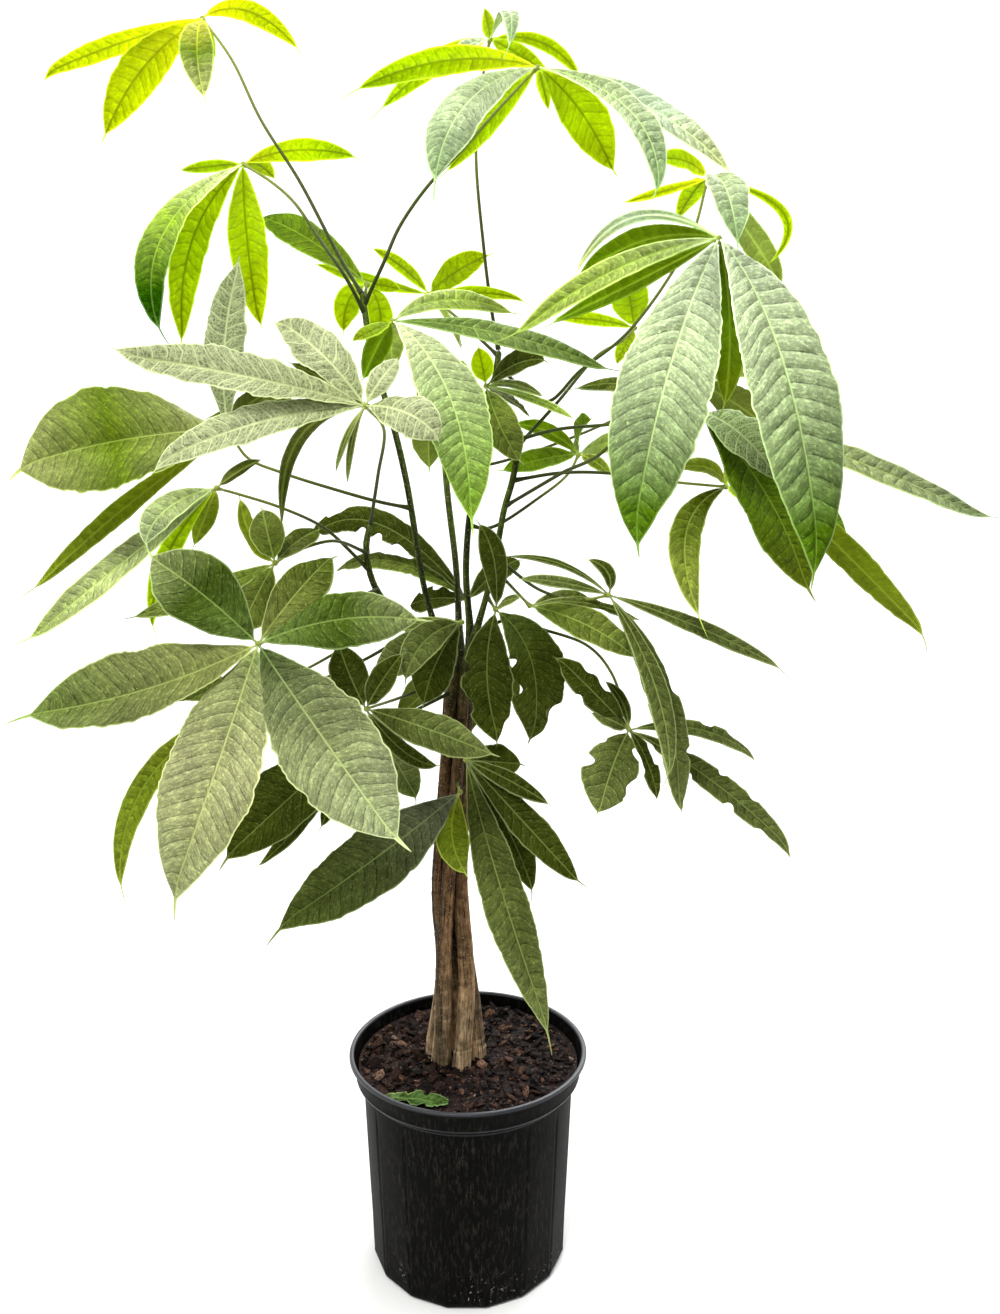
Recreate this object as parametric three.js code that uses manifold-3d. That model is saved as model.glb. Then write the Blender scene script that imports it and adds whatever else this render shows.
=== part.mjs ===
// Potted money tree (Pachira) with a twisted trunk in a black nursery pot.
// Millimetres, +Z up, the front faces -Y, origin at the middle of the pot's underside.
import * as THREE from 'three';
import { mergeVertices } from 'three/addons/utils/BufferGeometryUtils.js';
import Module from 'manifold-3d';

const wasm = await Module();
wasm.setup();

// ---- driving dimensions ----
const gap = 0.3;              // clearance between separate pieces

const pot = {
  height: 237,
  rimRadius: 128,             // outside of the rolled lip
  lipWidth: 5,
  skirtRadius: 121,           // lower edge of the band under the lip
  skirtDepth: 25,
  shoulderRadius: 113,        // body just under the band
  footRadius: 106,
  footChamfer: 5,
  wall: 2.5,
  floor: 3,
  lipHeight: 5,
  neck: 1.5,                  // how far the body swells just under the band
  neckHeight: 8,
  panels: 16,                 // flat panels of the body, sharpest at the foot
  sides: 32,
};

const soil = {
  level: 221,
  mound: 3,                   // how much the middle stands above the edge
  crumb: 1.6,                 // height of the lumps of bark
  waves: [9, 8, 5.5, 7],      // spacing of the lumps in four directions
  clearance: 0.7,             // room at the pot's wall, which the facets of both use up
  rings: 3,
};

const trunk = {
  footDepth: 60,              // how far the stems stand in the soil
  splitHeight: 655,           // where the stems part
  twist: 0.18,                // degrees of turn for each millimetre of height
  lowRadius: 9,               // each stem at the soil
  midRadius: 6.7,
  midHeight: 440,
  highRadius: 5.4,
  spread: 1.84,               // ring radius for each unit of stem radius
  flare: 3,                   // extra spread at the feet
  easing: 70,                 // height over which a stem thins once it stands alone
  axis: [[-13, 0, 160], [-13, 0, 222], [-19, 0, 438], [-13, 0, 560], [-5, 0, 670]],
  sides: 6,
};

const leafThickness = 0.8;
const petiole = { stemRadius: 2.4, hubRadius: 1.6, sides: 5, step: 70 };
const knobRadius = 3.2;       // where a leaf's blades meet
const bladeShape = {
  rootHalfWidth: 0.8,
  tipHalfWidth: 0.5,
  stalk: 8,                   // length of the narrow root of a blade
  small: 80,                  // blades shorter than this take fewer stations
  stations: [0.26, 0.58, 0.86],
  broad: 48,                  // blades wider than this are folded along the midrib
  fold: 0.16,                 // rise of the edge for each unit of half width
  arch: 0.16,                 // rise of a blade's middle for each unit of length
};
const scrap = { from: [-82, -80], to: [-18, -89], across: 17, rise: 1.05, arch: 5 };
const slivers = 0.05;          // unevenness smoothed away where parts of a leaf meet

// ---- the camera of the reference picture, so that a place can be given by its pixel ----
const view = {
  place: new THREE.Vector3(34.5, -1116, 871),
  down: THREE.MathUtils.degToRad(10.4),
  focal: 1117,                // pixels
  centre: [500, 657],
};

// The point on the line of sight through pixel (u, v) at distance y behind the trunk's plane.
function seen(u, v, y) {
  const right = (u - view.centre[0]) / view.focal;
  const up = (view.centre[1] - v) / view.focal;
  const [c, s] = [Math.cos(view.down), Math.sin(view.down)];
  const line = new THREE.Vector3(right, c + up * s, -s + up * c);
  return view.place.clone().addScaledVector(line, (y - view.place.y) / line.y);
}

function pixelOf(point) {
  const d = point.clone().sub(view.place);
  const [c, s] = [Math.cos(view.down), Math.sin(view.down)];
  const depth = d.y * c - d.z * s;
  const up = d.y * s + d.z * c;
  return [view.centre[0] + view.focal * d.x / depth, view.centre[1] - view.focal * up / depth];
}

// ---- shoots: each trunk stem goes on as one, through [u, v, y] points ----
const shoots = {
  stem_left: {
    angle: -126,
    radius: 2.9,
    path: [[437, 630, -14], [425, 590, -17], [407, 485, -24], [394, 429, -30], [371, 350, -32],
      [362, 292, -30]],
  },
  stem_middle: {
    angle: 18,
    radius: 3.2,
    path: [[470, 630, 8], [466, 570, 14], [472, 500, 22], [485, 457, 28], [493, 392, 32], [499, 350, 36]],
  },
  stem_right: {
    angle: -54,
    radius: 3.1,
    path: [[476, 632, -10], [488, 590, -10], [498, 544, -10], [504, 511, -10], [513, 479, -10],
      [520, 437, -6]],
  },
  stem_side: {
    angle: 162,
    radius: 3.3,
    path: [[437, 655, 6], [402, 622, 10], [374, 585, 8], [366, 546, 6], [371, 522, 6]],
  },
  stem_rear: {
    angle: 90,
    radius: 3.2,
    path: [[459, 630, 22], [456, 570, 52], [447, 490, 100], [442, 420, 130]],
  },
};

// ---- leaves ----
// hub: [u, v, y]; at: pixel on the stem where the petiole grows; petiole: pixels on its way.
// Blades: tip and via (half-way point of the midrib) are [u, v, y from the hub], wide in mm.
// under: the underside is turned to the front.
const facing = { top: [0, -0.8, 0.6], under: [0, 0.85, 0.5] };

const leaves = {
  leaf_top_left: {
    hub: [202, 18, 60], on: 'stem_left', at: [362, 294],
    petiole: [[340, 258], [300, 182], [261, 120], [232, 60]],
    blades: [
      { tip: [36, 78, 40], wide: 20, via: [112, 46, 20], under: true },
      { tip: [104, 139, 30], wide: 40, via: [143, 68, 10], under: true },
      { tip: [205, 101, -75], wide: 31, via: [197, 52, -58] },
      { tip: [302, 53, 20], wide: 20, via: [250, 12, 10], under: true },
      { tip: [200, 84, 130], wide: 26, under: true },
    ],
  },
  leaf_upper_left: {
    hub: [243, 164, 10], on: 'stem_left', at: [365, 314],
    petiole: [[346, 278, -46], [320, 240, -36], [292, 200], [270, 181]],
    blades: [
      { tip: [178, 171, 20], wide: 12, via: [212, 166, 10], under: true },
      { tip: [162, 338, -100], wide: 33, via: [162, 238, -75] },
      { tip: [184, 350, -30], wide: 31, via: [191, 244, -30], under: true },
      { tip: [260, 332, -10], wide: 37, via: [247, 240, -20], under: true },
      { tip: [360, 158, 30], wide: 21, via: [300, 150, 20], under: true },
      { tip: [276, 180, 90], wide: 20, under: true },
    ],
  },
  leaf_top_centre: {
    hub: [538, 67, -20], on: 'stem_left', at: [365, 306],
    petiole: [[384, 262, -40], [400, 226], [427, 187], [460, 152], [500, 107]],
    blades: [
      { tip: [337, 100, 60], wide: 28, via: [438, 62, 30], under: true },
      { tip: [433, 208, -120], wide: 45, via: [462, 110, -75] },
      { tip: [444, 176, 20], wide: 20, via: [492, 118, 12], under: true },
      { tip: [616, 180, 40], wide: 41, via: [584, 116, 30], under: true },
      { tip: [734, 178, -30], wide: 27, via: [652, 110, -20] },
      { tip: [657, 208, -80], wide: 27, via: [634, 116, -60] },
      { tip: [549, 112, 50], wide: 12, under: true },
    ],
  },
  leaf_top_back: {
    hub: [490, 39, 60], on: 'stem_middle', at: [499, 352],
    petiole: [[491, 306], [484, 250], [476, 147], [484, 70]],
    blades: [
      { tip: [364, 126, 20], wide: 21, via: [432, 66, 20], under: true },
      { tip: [484, 6, 40], wide: 14, under: true },
      { tip: [509, 52, -90], wide: 18, via: [509, 12, -60] },
      { tip: [583, 83, 20], wide: 14, via: [545, 44, 10], under: true },
      { tip: [552, 78, 70], wide: 20, under: true },
      { tip: [454, 58, -50], wide: 15, via: [470, 45, -35] },
    ],
  },
  leaf_right_top: {
    hub: [708, 178, -60], on: 'stem_middle', at: [497, 366],
    petiole: [[545, 402, 26], [580, 371, 10], [630, 330], [690, 240]],
    blades: [
      { tip: [620, 204, 60], wide: 9, via: [665, 191, 30], under: true },
      { tip: [652, 162, 90], wide: 20, via: [682, 160, 40], under: true },
      { tip: [676, 222, 80], wide: 20, under: true },
      { tip: [738, 248, -80], wide: 34, via: [726, 190, -55] },
      { tip: [765, 268, 0], wide: 9, via: [784, 214, -5], under: true },
      { tip: [782, 290, 70], wide: 26, via: [756, 244, 40], under: true },
    ],
  },
  leaf_big_right: {
    hub: [719, 238, -250], on: 'stem_right', at: [506, 506],
    petiole: [[560, 474], [608, 447], [672, 340]],
    blades: [
      { tip: [631, 549, -50], wide: 76, via: [668, 375, -45] },
      { tip: [820, 580, -50], wide: 63, via: [786, 372, -50] },
      { tip: [724, 412, 70], wide: 28, via: [730, 325, 40], under: true },
      { tip: [572, 280, 60], wide: 10, via: [632, 218, 40], under: true },
      { tip: [572, 286, 90], wide: 24, via: [640, 242, 60], under: true },
      { tip: [508, 342, -40], wide: 20, via: [612, 272, -30] },
      { tip: [545, 326, 25], wide: 15, via: [632, 284, 15], under: true },
    ],
  },
  leaf_right_mid: {
    hub: [700, 412, -130], on: 'stem_right', at: [520, 440],
    petiole: [[560, 429], [604, 425], [655, 419]],
    blades: [
      { tip: [777, 480, -30], wide: 38, via: [742, 436, -30] },
      { tip: [808, 596, -30], wide: 60, via: [768, 498, -25] },
      { tip: [1002, 529, 30], wide: 26, via: [862, 464, 10] },
      { tip: [931, 641, 40], wide: 27, via: [838, 546, 25], under: true },
      { tip: [852, 552, 80], wide: 38, via: [790, 475, 40] },
      { tip: [571, 390, 70], wide: 22, via: [636, 386, 35] },
    ],
  },
  leaf_right_back: {
    hub: [635, 328, 130], on: 'stem_right', at: [519, 446],
    petiole: [[556, 404], [597, 356], [622, 341]],
    blades: [
      { tip: [626, 262, 50], wide: 42, via: [630, 298, 20], under: true },
      { tip: [552, 318, 40], wide: 15, under: true },
      { tip: [616, 366, -20], wide: 18 },
      { tip: [722, 300, 60], wide: 44, via: [680, 318, 30], under: true },
      { tip: [708, 392, 40], wide: 44, via: [675, 352, 20] },
    ],
  },
  leaf_mid_right: {
    hub: [579, 454, 50], on: 'stem_middle', at: [469, 526],
    petiole: [[489, 528], [540, 497], [568, 474]],
    blades: [
      { tip: [592, 419, 70], wide: 36, under: true },
      { tip: [512, 424, 20], wide: 18, via: [548, 432, 10], under: true },
      { tip: [500, 472, -20], wide: 26, via: [540, 460, -15] },
      { tip: [612, 476, -30], wide: 15 },
      { tip: [640, 440, 60], wide: 26, under: true },
    ],
  },
  leaf_small_right: {
    hub: [727, 487, -50], on: 'stem_right', at: [513, 480],
    petiole: [[560, 473], [606, 473], [674, 482]],
    blades: [
      { tip: [674, 470, -10], wide: 19, via: [706, 468, -10] },
      { tip: [702, 624, -70], wide: 29, via: [686, 534, -55] },
      { tip: [750, 502, -30], wide: 15 },
      { tip: [800, 508, 60], wide: 30, via: [765, 490, 30] },
      { tip: [760, 440, 110], wide: 30, under: true },
    ],
  },
  leaf_centre_top: {
    hub: [393, 321, -100], on: 'stem_left', at: [368, 344],
    petiole: [[378, 334]],
    blades: [
      { tip: [468, 528, -90], wide: 62, via: [448, 408, -80] },
      { tip: [615, 374, 10], wide: 25, via: [508, 336, -10] },
      { tip: [517, 316, 60], wide: 22, via: [450, 300, 30] },
      { tip: [530, 303, 110], wide: 16, via: [462, 294, 60], under: true },
      { tip: [351, 342, -30], wide: 17, via: [372, 331, -15] },
      { tip: [362, 382, 20], wide: 22, via: [378, 346, 5], under: true },
      { tip: [394, 372, 90], wide: 26 },
    ],
  },
  leaf_centre: {
    hub: [365, 406, -200], on: 'stem_side', at: [371, 524],
    petiole: [[378, 475], [384, 430]],
    blades: [
      { tip: [112, 355, -30], wide: 38, via: [240, 376, -15] },
      { tip: [150, 467, -40], wide: 33, via: [255, 424, -20] },
      { tip: [276, 320, 20], wide: 38, via: [322, 355, 10] },
      { tip: [399, 359, 20], wide: 20 },
      { tip: [440, 440, -35], wide: 36, via: [408, 414, -25] },
      { tip: [288, 362, 60], wide: 19, via: [328, 382, 30], under: true },
      { tip: [302, 401, 60], wide: 14, under: true },
      { tip: [335, 475, -10], wide: 6, via: [347, 437, -15] },
      { tip: [347, 487, 20], wide: 7, via: [353, 440, 10] },
      { tip: [283, 535, 40], wide: 12, via: [297, 442, 30], under: true },
    ],
  },
  leaf_big_left: {
    hub: [228, 430, -90], on: 'stem_left', at: [409, 510],
    petiole: [[380, 502], [340, 491], [280, 472], [248, 458]],
    blades: [
      { tip: [14, 469, -50], wide: 98, via: [118, 441, -40] },
      { tip: [28, 596, 10], wide: 20, via: [122, 510, 5], under: true },
      { tip: [241, 260, -10], wide: 40, via: [225, 345, 0] },
      { tip: [272, 391, 70], wide: 22, under: true },
    ],
  },
  leaf_left: {
    hub: [216, 488, -110], on: 'stem_side', at: [370, 570],
    petiole: [[355, 556, 2], [327, 530, -12], [282, 508], [238, 494]],
    blades: [
      { tip: [145, 548, -60], wide: 28, via: [166, 510, -40] },
      { tip: [24, 645, -30], wide: 30, via: [112, 572, -10] },
      { tip: [152, 633, 40], wide: 20, via: [165, 560, 25], under: true },
      { tip: [193, 548, 50], wide: 20, under: true },
      { tip: [263, 459, 20], wide: 13, via: [238, 472, 10], under: true },
    ],
  },
  leaf_front_left: {
    hub: [258, 644, -250], on: 'stem_side', at: [378, 588],
    petiole: [[345, 604], [300, 628]],
    blades: [
      { tip: [14, 723, -10], wide: 66, via: [138, 692, -15] },
      { tip: [166, 902, -60], wide: 84, via: [221, 765, -45] },
      { tip: [400, 838, -50], wide: 77, via: [326, 743, -45] },
      { tip: [430, 618, 20], wide: 49, via: [345, 619, 0] },
      { tip: [333, 556, 40], wide: 42, via: [298, 592, 15] },
      { tip: [148, 556, 10], wide: 58, via: [202, 594, 0] },
    ],
  },
  leaf_behind_left: {
    hub: [275, 563, -130], on: 'stem_side', at: [366, 552],
    petiole: [[330, 541, -64], [296, 551]],
    blades: [
      { tip: [262, 508, 20], wide: 32 },
      { tip: [240, 496, 60], wide: 22, via: [250, 534, 30], under: true },
      { tip: [128, 619, 30], wide: 24, via: [206, 594, 20] },
      { tip: [240, 634, 0], wide: 42, via: [255, 600, 0] },
      { tip: [320, 530, 60], wide: 24 },
    ],
  },
  leaf_low_left: {
    hub: [268, 696, -130], on: 'stem_side', at: [413, 632],
    petiole: [[360, 662], [300, 688]],
    blades: [
      { tip: [121, 898, 10], wide: 26, via: [150, 778, 15] },
      { tip: [222, 800, 60], wide: 42, via: [240, 745, 30] },
      { tip: [190, 700, 80], wide: 30 },
    ],
  },
  leaf_low_dark: {
    hub: [354, 740, -90], on: 'stem_left', at: [447, 690],
    petiole: [[400, 718]],
    blades: [
      { tip: [222, 861, -20], wide: 68, via: [292, 796, -20] },
      { tip: [254, 870, 40], wide: 20, via: [308, 815, 20] },
      { tip: [320, 830, 20], wide: 22, via: [338, 786, 10] },
      { tip: [300, 740, 80], wide: 30 },
    ],
  },
  leaf_low_centre: {
    hub: [366, 709, -100], on: 'stem_left', at: [447, 676],
    petiole: [[410, 694, -20]],
    blades: [
      { tip: [495, 756, -20], wide: 40, via: [430, 730, -30] },
      { tip: [404, 652, 0], wide: 26 },
      { tip: [338, 642, 10], wide: 36, via: [350, 676, 5] },
      { tip: [440, 766, 30], wide: 18, via: [404, 752, 20] },
      { tip: [418, 800, 45], wide: 38, via: [396, 762, 40] },
    ],
  },
  leaf_knot_left: {
    hub: [462, 622, -50], on: 'stem_left', at: [446, 640],
    petiole: [],
    blades: [
      { tip: [405, 683, -50], wide: 32, via: [424, 642, -35] },
      { tip: [380, 633, -10], wide: 12, via: [420, 623, -10] },
      { tip: [424, 706, 10], wide: 44, via: [436, 664, 0] },
      { tip: [372, 676, 20], wide: 40, via: [412, 650, 10] },
    ],
  },
  leaf_curled: {
    hub: [468, 600, 60], on: 'stem_rear', at: [458, 590],
    petiole: [],
    blades: [
      { tip: [307, 541, 30], wide: 34, via: [378, 524, 20] },
      { tip: [335, 572, 60], wide: 24, via: [395, 562, 30] },
      { tip: [410, 606, 70], wide: 32 },
      { tip: [520, 560, 110], wide: 30 },
    ],
  },
  leaf_knot_right: {
    hub: [496, 610, -30], on: 'stem_right', at: [486, 596],
    petiole: [],
    blades: [
      { tip: [500, 742, -20], wide: 50, via: [487, 676, -30] },
      { tip: [532, 742, 20], wide: 62, via: [532, 664, 5] },
      { tip: [478, 522, 10], wide: 26, via: [494, 560, 5] },
      { tip: [521, 598, -40], wide: 17 },
    ],
  },
  leaf_right_low: {
    hub: [609, 595, -70], on: 'stem_right', at: [496, 556],
    petiole: [[540, 590], [580, 600]],
    blades: [
      { tip: [503, 557, 20], wide: 8, via: [560, 564, 10] },
      { tip: [517, 579, -10], wide: 13, via: [562, 583, -10] },
      { tip: [586, 559, 20], wide: 14, via: [607, 572, 5] },
      { tip: [786, 671, -20], wide: 17, via: [702, 629, -20] },
      { tip: [669, 783, -75], wide: 22, via: [656, 690, -60] },
      { tip: [677, 814, -45], wide: 32, via: [665, 706, -38] },
    ],
  },
  leaf_right_low_small: {
    hub: [530, 606, -50], on: 'stem_right', at: [493, 568],
    petiole: [],
    blades: [
      { tip: [641, 622, 0], wide: 12, via: [585, 603, -5] },
      { tip: [638, 660, -40], wide: 34, via: [588, 626, -30] },
      { tip: [590, 598, 60], wide: 18 },
    ],
  },
  leaf_right_lower: {
    hub: [629, 730, -60], on: 'stem_right', at: [472, 640],
    petiole: [[505, 620, -6], [545, 630, -6], [588, 646, -18], [612, 674, -36]],
    blades: [
      { tip: [757, 760, -10], wide: 17, via: [700, 730, -10] },
      { tip: [797, 856, -40], wide: 25, via: [716, 784, -25] },
      { tip: [599, 814, -50], wide: 54, via: [612, 768, -35] },
      { tip: [658, 800, 20], wide: 20, via: [646, 760, 10] },
      { tip: [556, 656, -14], wide: 30, via: [594, 693, -8] },
      { tip: [590, 713, -10], wide: 18 },
      { tip: [604, 680, 20], wide: 12, via: [622, 702, 10] },
    ],
  },
  leaf_lower_front: {
    hub: [466, 760, -60], on: 'stem_right', at: [462, 742],
    petiole: [],
    blades: [
      { tip: [523, 764, 30], wide: 34, via: [494, 762, 15] },
      { tip: [552, 806, -10], wide: 20, via: [508, 780, -10] },
      { tip: [582, 886, -10], wide: 33, via: [527, 826, -15] },
      { tip: [534, 895, 20], wide: 34, via: [508, 830, 5] },
      { tip: [552, 1040, -20], wide: 44, via: [502, 892, -30] },
    ],
  },
  leaf_lower_left: {
    hub: [460, 792, -70], on: 'stem_right', at: [457, 782],
    petiole: [],
    blades: [
      { tip: [271, 931, -60], wide: 67, via: [376, 858, -45] },
      { tip: [468, 876, -30], wide: 32, via: [452, 836, -25] },
    ],
  },
  leaf_centre_right: {
    hub: [486, 386, 0], on: 'stem_middle', at: [493, 390],
    petiole: [],
    blades: [
      { tip: [576, 420, 0], wide: 10, via: [536, 400, 0] },
      { tip: [545, 398, 20], wide: 13, via: [516, 385, 10] },
      { tip: [531, 418, 60], wide: 22, via: [512, 402, 30] },
      { tip: [521, 464, -36], wide: 36, via: [500, 426, -28] },
      { tip: [547, 361, -30], wide: 28, via: [518, 364, -20] },
      { tip: [478, 346, 0], wide: 22, under: true },
    ],
  },
  leaf_rear_lime: {
    hub: [429, 294, 140], on: 'stem_middle', at: [498, 356],
    petiole: [[462, 322]],
    blades: [
      { tip: [312, 262, 20], wide: 15, via: [366, 280, 10], under: true },
      { tip: [370, 247, 40], wide: 16, via: [403, 268, 20], under: true },
      { tip: [491, 254, 40], wide: 33, via: [456, 272, 20], under: true },
      { tip: [462, 350, 90], wide: 40, via: [446, 320, 50] },
    ],
  },
  leaf_fork: {
    hub: [367, 284, -6], on: 'stem_left', at: [363, 304],
    petiole: [],
    blades: [
      { tip: [344, 334, 20], wide: 26, via: [348, 302, 10], under: true },
      { tip: [376, 346, 50], wide: 26, via: [380, 312, 30], under: true },
      { tip: [402, 290, 20], wide: 14, under: true },
      { tip: [258, 217, 70], wide: 36, via: [306, 238, 40] },
    ],
  },
  leaf_rear_high: {
    hub: [440, 400, 240], on: 'stem_rear', at: [442, 424],
    petiole: [],
    blades: [
      { tip: [412, 348, 60], wide: 40, via: [424, 370, 30], under: true },
      { tip: [470, 372, 110], wide: 44, under: true },
      { tip: [430, 470, 60], wide: 46, via: [430, 430, 50], under: true },
      { tip: [470, 480, 0], wide: 40, via: [462, 436, 10], under: true },
      { tip: [430, 410, 150], wide: 50, under: true },
    ],
  },
  leaf_rear_left: {
    hub: [300, 385, 160], on: 'stem_rear', at: [443, 440],
    petiole: [[420, 428], [360, 402]],
    blades: [
      { tip: [190, 362, 60], wide: 36, via: [246, 368, 30], under: true },
      { tip: [334, 346, 80], wide: 38, under: true },
      { tip: [190, 430, 40], wide: 34, via: [250, 412, 20], under: true },
      { tip: [330, 400, 120], wide: 40, under: true },
      { tip: [250, 384, 130], wide: 44, under: true },
    ],
  },
  leaf_rear_right: {
    hub: [690, 380, 215], on: 'stem_rear', at: [445, 470],
    petiole: [[500, 462], [600, 426]],
    blades: [
      { tip: [646, 480, 20], wide: 44, via: [664, 432, 20], under: true },
      { tip: [690, 300, 60], wide: 46, under: true },
      { tip: [800, 360, 40], wide: 44, via: [745, 362, 30], under: true },
      { tip: [790, 450, 60], wide: 44, via: [742, 408, 50], under: true },
      { tip: [700, 370, 150], wide: 50, under: true },
    ],
  },
  leaf_rear_low: {
    hub: [466, 660, 190], on: 'stem_rear', at: [457, 600],
    petiole: [[460, 622]],
    blades: [
      { tip: [396, 720, 40], wide: 44, via: [430, 688, 30], under: true },
      { tip: [420, 640, 90], wide: 40, under: true },
      { tip: [520, 700, 50], wide: 46, via: [494, 676, 30], under: true },
      { tip: [462, 740, 70], wide: 50, via: [464, 700, 50], under: true },
      { tip: [490, 650, 140], wide: 44, under: true },
    ],
  },
  leaf_rear_low_left: {
    hub: [250, 690, 90], on: 'stem_side', at: [404, 624],
    petiole: [[360, 640], [300, 672]],
    blades: [
      { tip: [140, 700, 60], wide: 38, via: [196, 688, 30], under: true },
      { tip: [200, 790, 40], wide: 42, via: [222, 744, 30], under: true },
      { tip: [310, 690, 90], wide: 40, under: true },
      { tip: [240, 740, 140], wide: 48, under: true },
    ],
  },
};

// ---- solids ----
function geometryFrom(positions, triangles) {
  const geometry = new THREE.BufferGeometry();
  geometry.setAttribute('position', new THREE.Float32BufferAttribute(positions.flat(), 3));
  geometry.setIndex(triangles.flat());
  return geometry;
}

function solidOf(geometry) {
  const bare = geometry.clone();
  bare.deleteAttribute('normal');
  bare.deleteAttribute('uv');
  const merged = mergeVertices(bare, 1e-4);
  return new wasm.Manifold(new wasm.Mesh({
    numProp: 3,
    vertProperties: new Float32Array(merged.attributes.position.array),
    triVerts: new Uint32Array(merged.index.array),
  }));
}

function geometryOf(solid) {
  const mesh = solid.getMesh();
  const geometry = new THREE.BufferGeometry();
  geometry.setAttribute('position', new THREE.BufferAttribute(mesh.vertProperties.slice(), 3));
  geometry.setIndex(new THREE.BufferAttribute(mesh.triVerts.slice(), 1));
  geometry.computeVertexNormals();
  return geometry;
}

// Closed skin over rings of the same number of points, run from the first ring to the last.
function skin(rings, split = () => false) {
  const count = rings[0].length;
  const triangles = [];
  for (let i = 0; i + 1 < rings.length; i += 1) {
    for (let j = 0; j < count; j += 1) {
      const [a, b] = [i * count + j, i * count + (j + 1) % count];
      const [c, d] = [a + count, b + count];
      if (split(j)) triangles.push([a, b, c], [b, d, c]);
      else triangles.push([a, b, d], [a, d, c]);
    }
  }
  const last = (rings.length - 1) * count;
  for (let j = 1; j + 1 < count; j += 1) {
    triangles.push([0, j + 1, j], [last, last + j, last + j + 1]);
  }
  return geometryFrom(rings.flat().map((p) => p.toArray()), triangles);
}

// A round twig along a curve; radiusAt gives its radius from 0 to 1 along the curve.
function twig(curve, radiusAt, sides, steps) {
  const rings = [];
  let side = new THREE.Vector3(0, 1, 0);
  for (let i = 0; i <= steps; i += 1) {
    const t = i / steps;
    const along = curve.getTangent(t);
    side = side.addScaledVector(along, -side.dot(along)).normalize();
    const over = along.clone().cross(side);
    const ring = [];
    for (let j = 0; j < sides; j += 1) {
      const a = 2 * Math.PI * j / sides;
      ring.push(curve.getPoint(t).addScaledVector(side, radiusAt(t) * Math.cos(a))
        .addScaledVector(over, radiusAt(t) * Math.sin(a)));
    }
    rings.push(ring);
    side = side.clone();
  }
  return skin(rings);
}

// Half of a leaflet's width along its length, as a share of the widest place.
function outline(t) {
  const widest = 0.595;
  const shape = (s) => s ** 1.1 * (1 - s) ** 0.75;
  return shape(t) / shape(widest);
}

function bladeCurve(hub, depth, spec, face) {
  const tip = seen(spec.tip[0], spec.tip[1], depth + spec.tip[2]);
  const middle = hub.clone().add(tip).multiplyScalar(0.5);
  const chord = tip.clone().sub(hub).normalize();
  const bend = middle.clone();
  if (spec.via) {
    const via = seen(spec.via[0], spec.via[1], depth + spec.via[2]);
    bend.copy(via).multiplyScalar(2).sub(middle);
  } else {
    const over = face.clone().addScaledVector(chord, -face.dot(chord)).normalize();
    bend.addScaledVector(over, bladeShape.arch * hub.distanceTo(tip));
  }
  return new THREE.QuadraticBezierCurve3(hub.clone(), bend, tip);
}

// A leaflet: a thin, slightly folded blade whose midrib follows the curve.
function blade(hub, depth, spec) {
  const face = new THREE.Vector3(...(spec.face ?? facing[spec.under ? 'under' : 'top'])).normalize();
  const curve = bladeCurve(hub, depth, spec, face);
  const length = curve.getLength();
  const { stalk, small, broad, fold, rootHalfWidth, tipHalfWidth } = bladeShape;
  const neck = stalk / length;
  const stations = length > small ? [0, neck, ...bladeShape.stations, 1] : [0, 0.3, 0.7, 1];
  const rings = stations.map((t) => {
    const along = curve.getTangent(t);
    const up = face.clone().addScaledVector(along, -face.dot(along)).normalize();
    const side = up.clone().cross(along);
    const edge = t <= neck ? rootHalfWidth : Math.max(tipHalfWidth, outline(t) * spec.wide / 2);
    const centre = curve.getPoint(t);
    const place = (x, z) => centre.clone().addScaledVector(side, x).addScaledVector(up, z);
    const half = leafThickness / 2;
    if (spec.wide < broad) {
      return [place(-edge, -half), place(edge, -half), place(edge, half), place(-edge, half)];
    }
    const lift = fold * edge;
    return [
      place(-edge, lift - half), place(0, -half), place(edge, lift - half),
      place(edge, lift + half), place(0, half), place(-edge, lift + half),
    ];
  });
  return skin(rings, (j) => j >= rings[0].length / 2);
}

function largest(solid) {
  return solid.decompose().reduce((best, body) => (body.volume() > best.volume() ? body : best));
}

// ---- trunk stems ----
const trunkAxis = new THREE.CatmullRomCurve3(trunk.axis.map((p) => new THREE.Vector3(...p)));

function trunkPoint(angle, height) {
  const [low, high] = [trunk.axis[0][2], trunk.axis[trunk.axis.length - 1][2]];
  const axis = trunkAxis.getPoint((height - low) / (high - low));
  const turn = THREE.MathUtils.degToRad(angle - trunk.twist * (trunk.splitHeight - height));
  const foot = Math.max(0, 1 - (height - soil.level) / (trunk.midHeight - soil.level));
  const ring = trunk.spread * stemRadius(height) + trunk.flare * Math.min(foot, 1);
  return new THREE.Vector3(axis.x + ring * Math.cos(turn), axis.y + ring * Math.sin(turn), height);
}

function stemRadius(height) {
  const { clamp, mapLinear } = THREE.MathUtils;
  if (height < trunk.midHeight) {
    const h = Math.max(height, soil.level);
    return mapLinear(h, soil.level, trunk.midHeight, trunk.lowRadius, trunk.midRadius);
  }
  const h = clamp(height, trunk.midHeight, trunk.splitHeight);
  return mapLinear(h, trunk.midHeight, trunk.splitHeight, trunk.midRadius, trunk.highRadius);
}

function stemCurve(shoot) {
  const points = [];
  const foot = soil.level - trunk.footDepth;
  const levels = 13;
  for (let i = 0; i <= levels; i += 1) {
    points.push(trunkPoint(shoot.angle, THREE.MathUtils.lerp(foot, trunk.splitHeight, i / levels)));
  }
  shoot.path.forEach((p) => points.push(seen(...p)));
  return new THREE.CatmullRomCurve3(points, false, 'centripetal');
}

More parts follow.
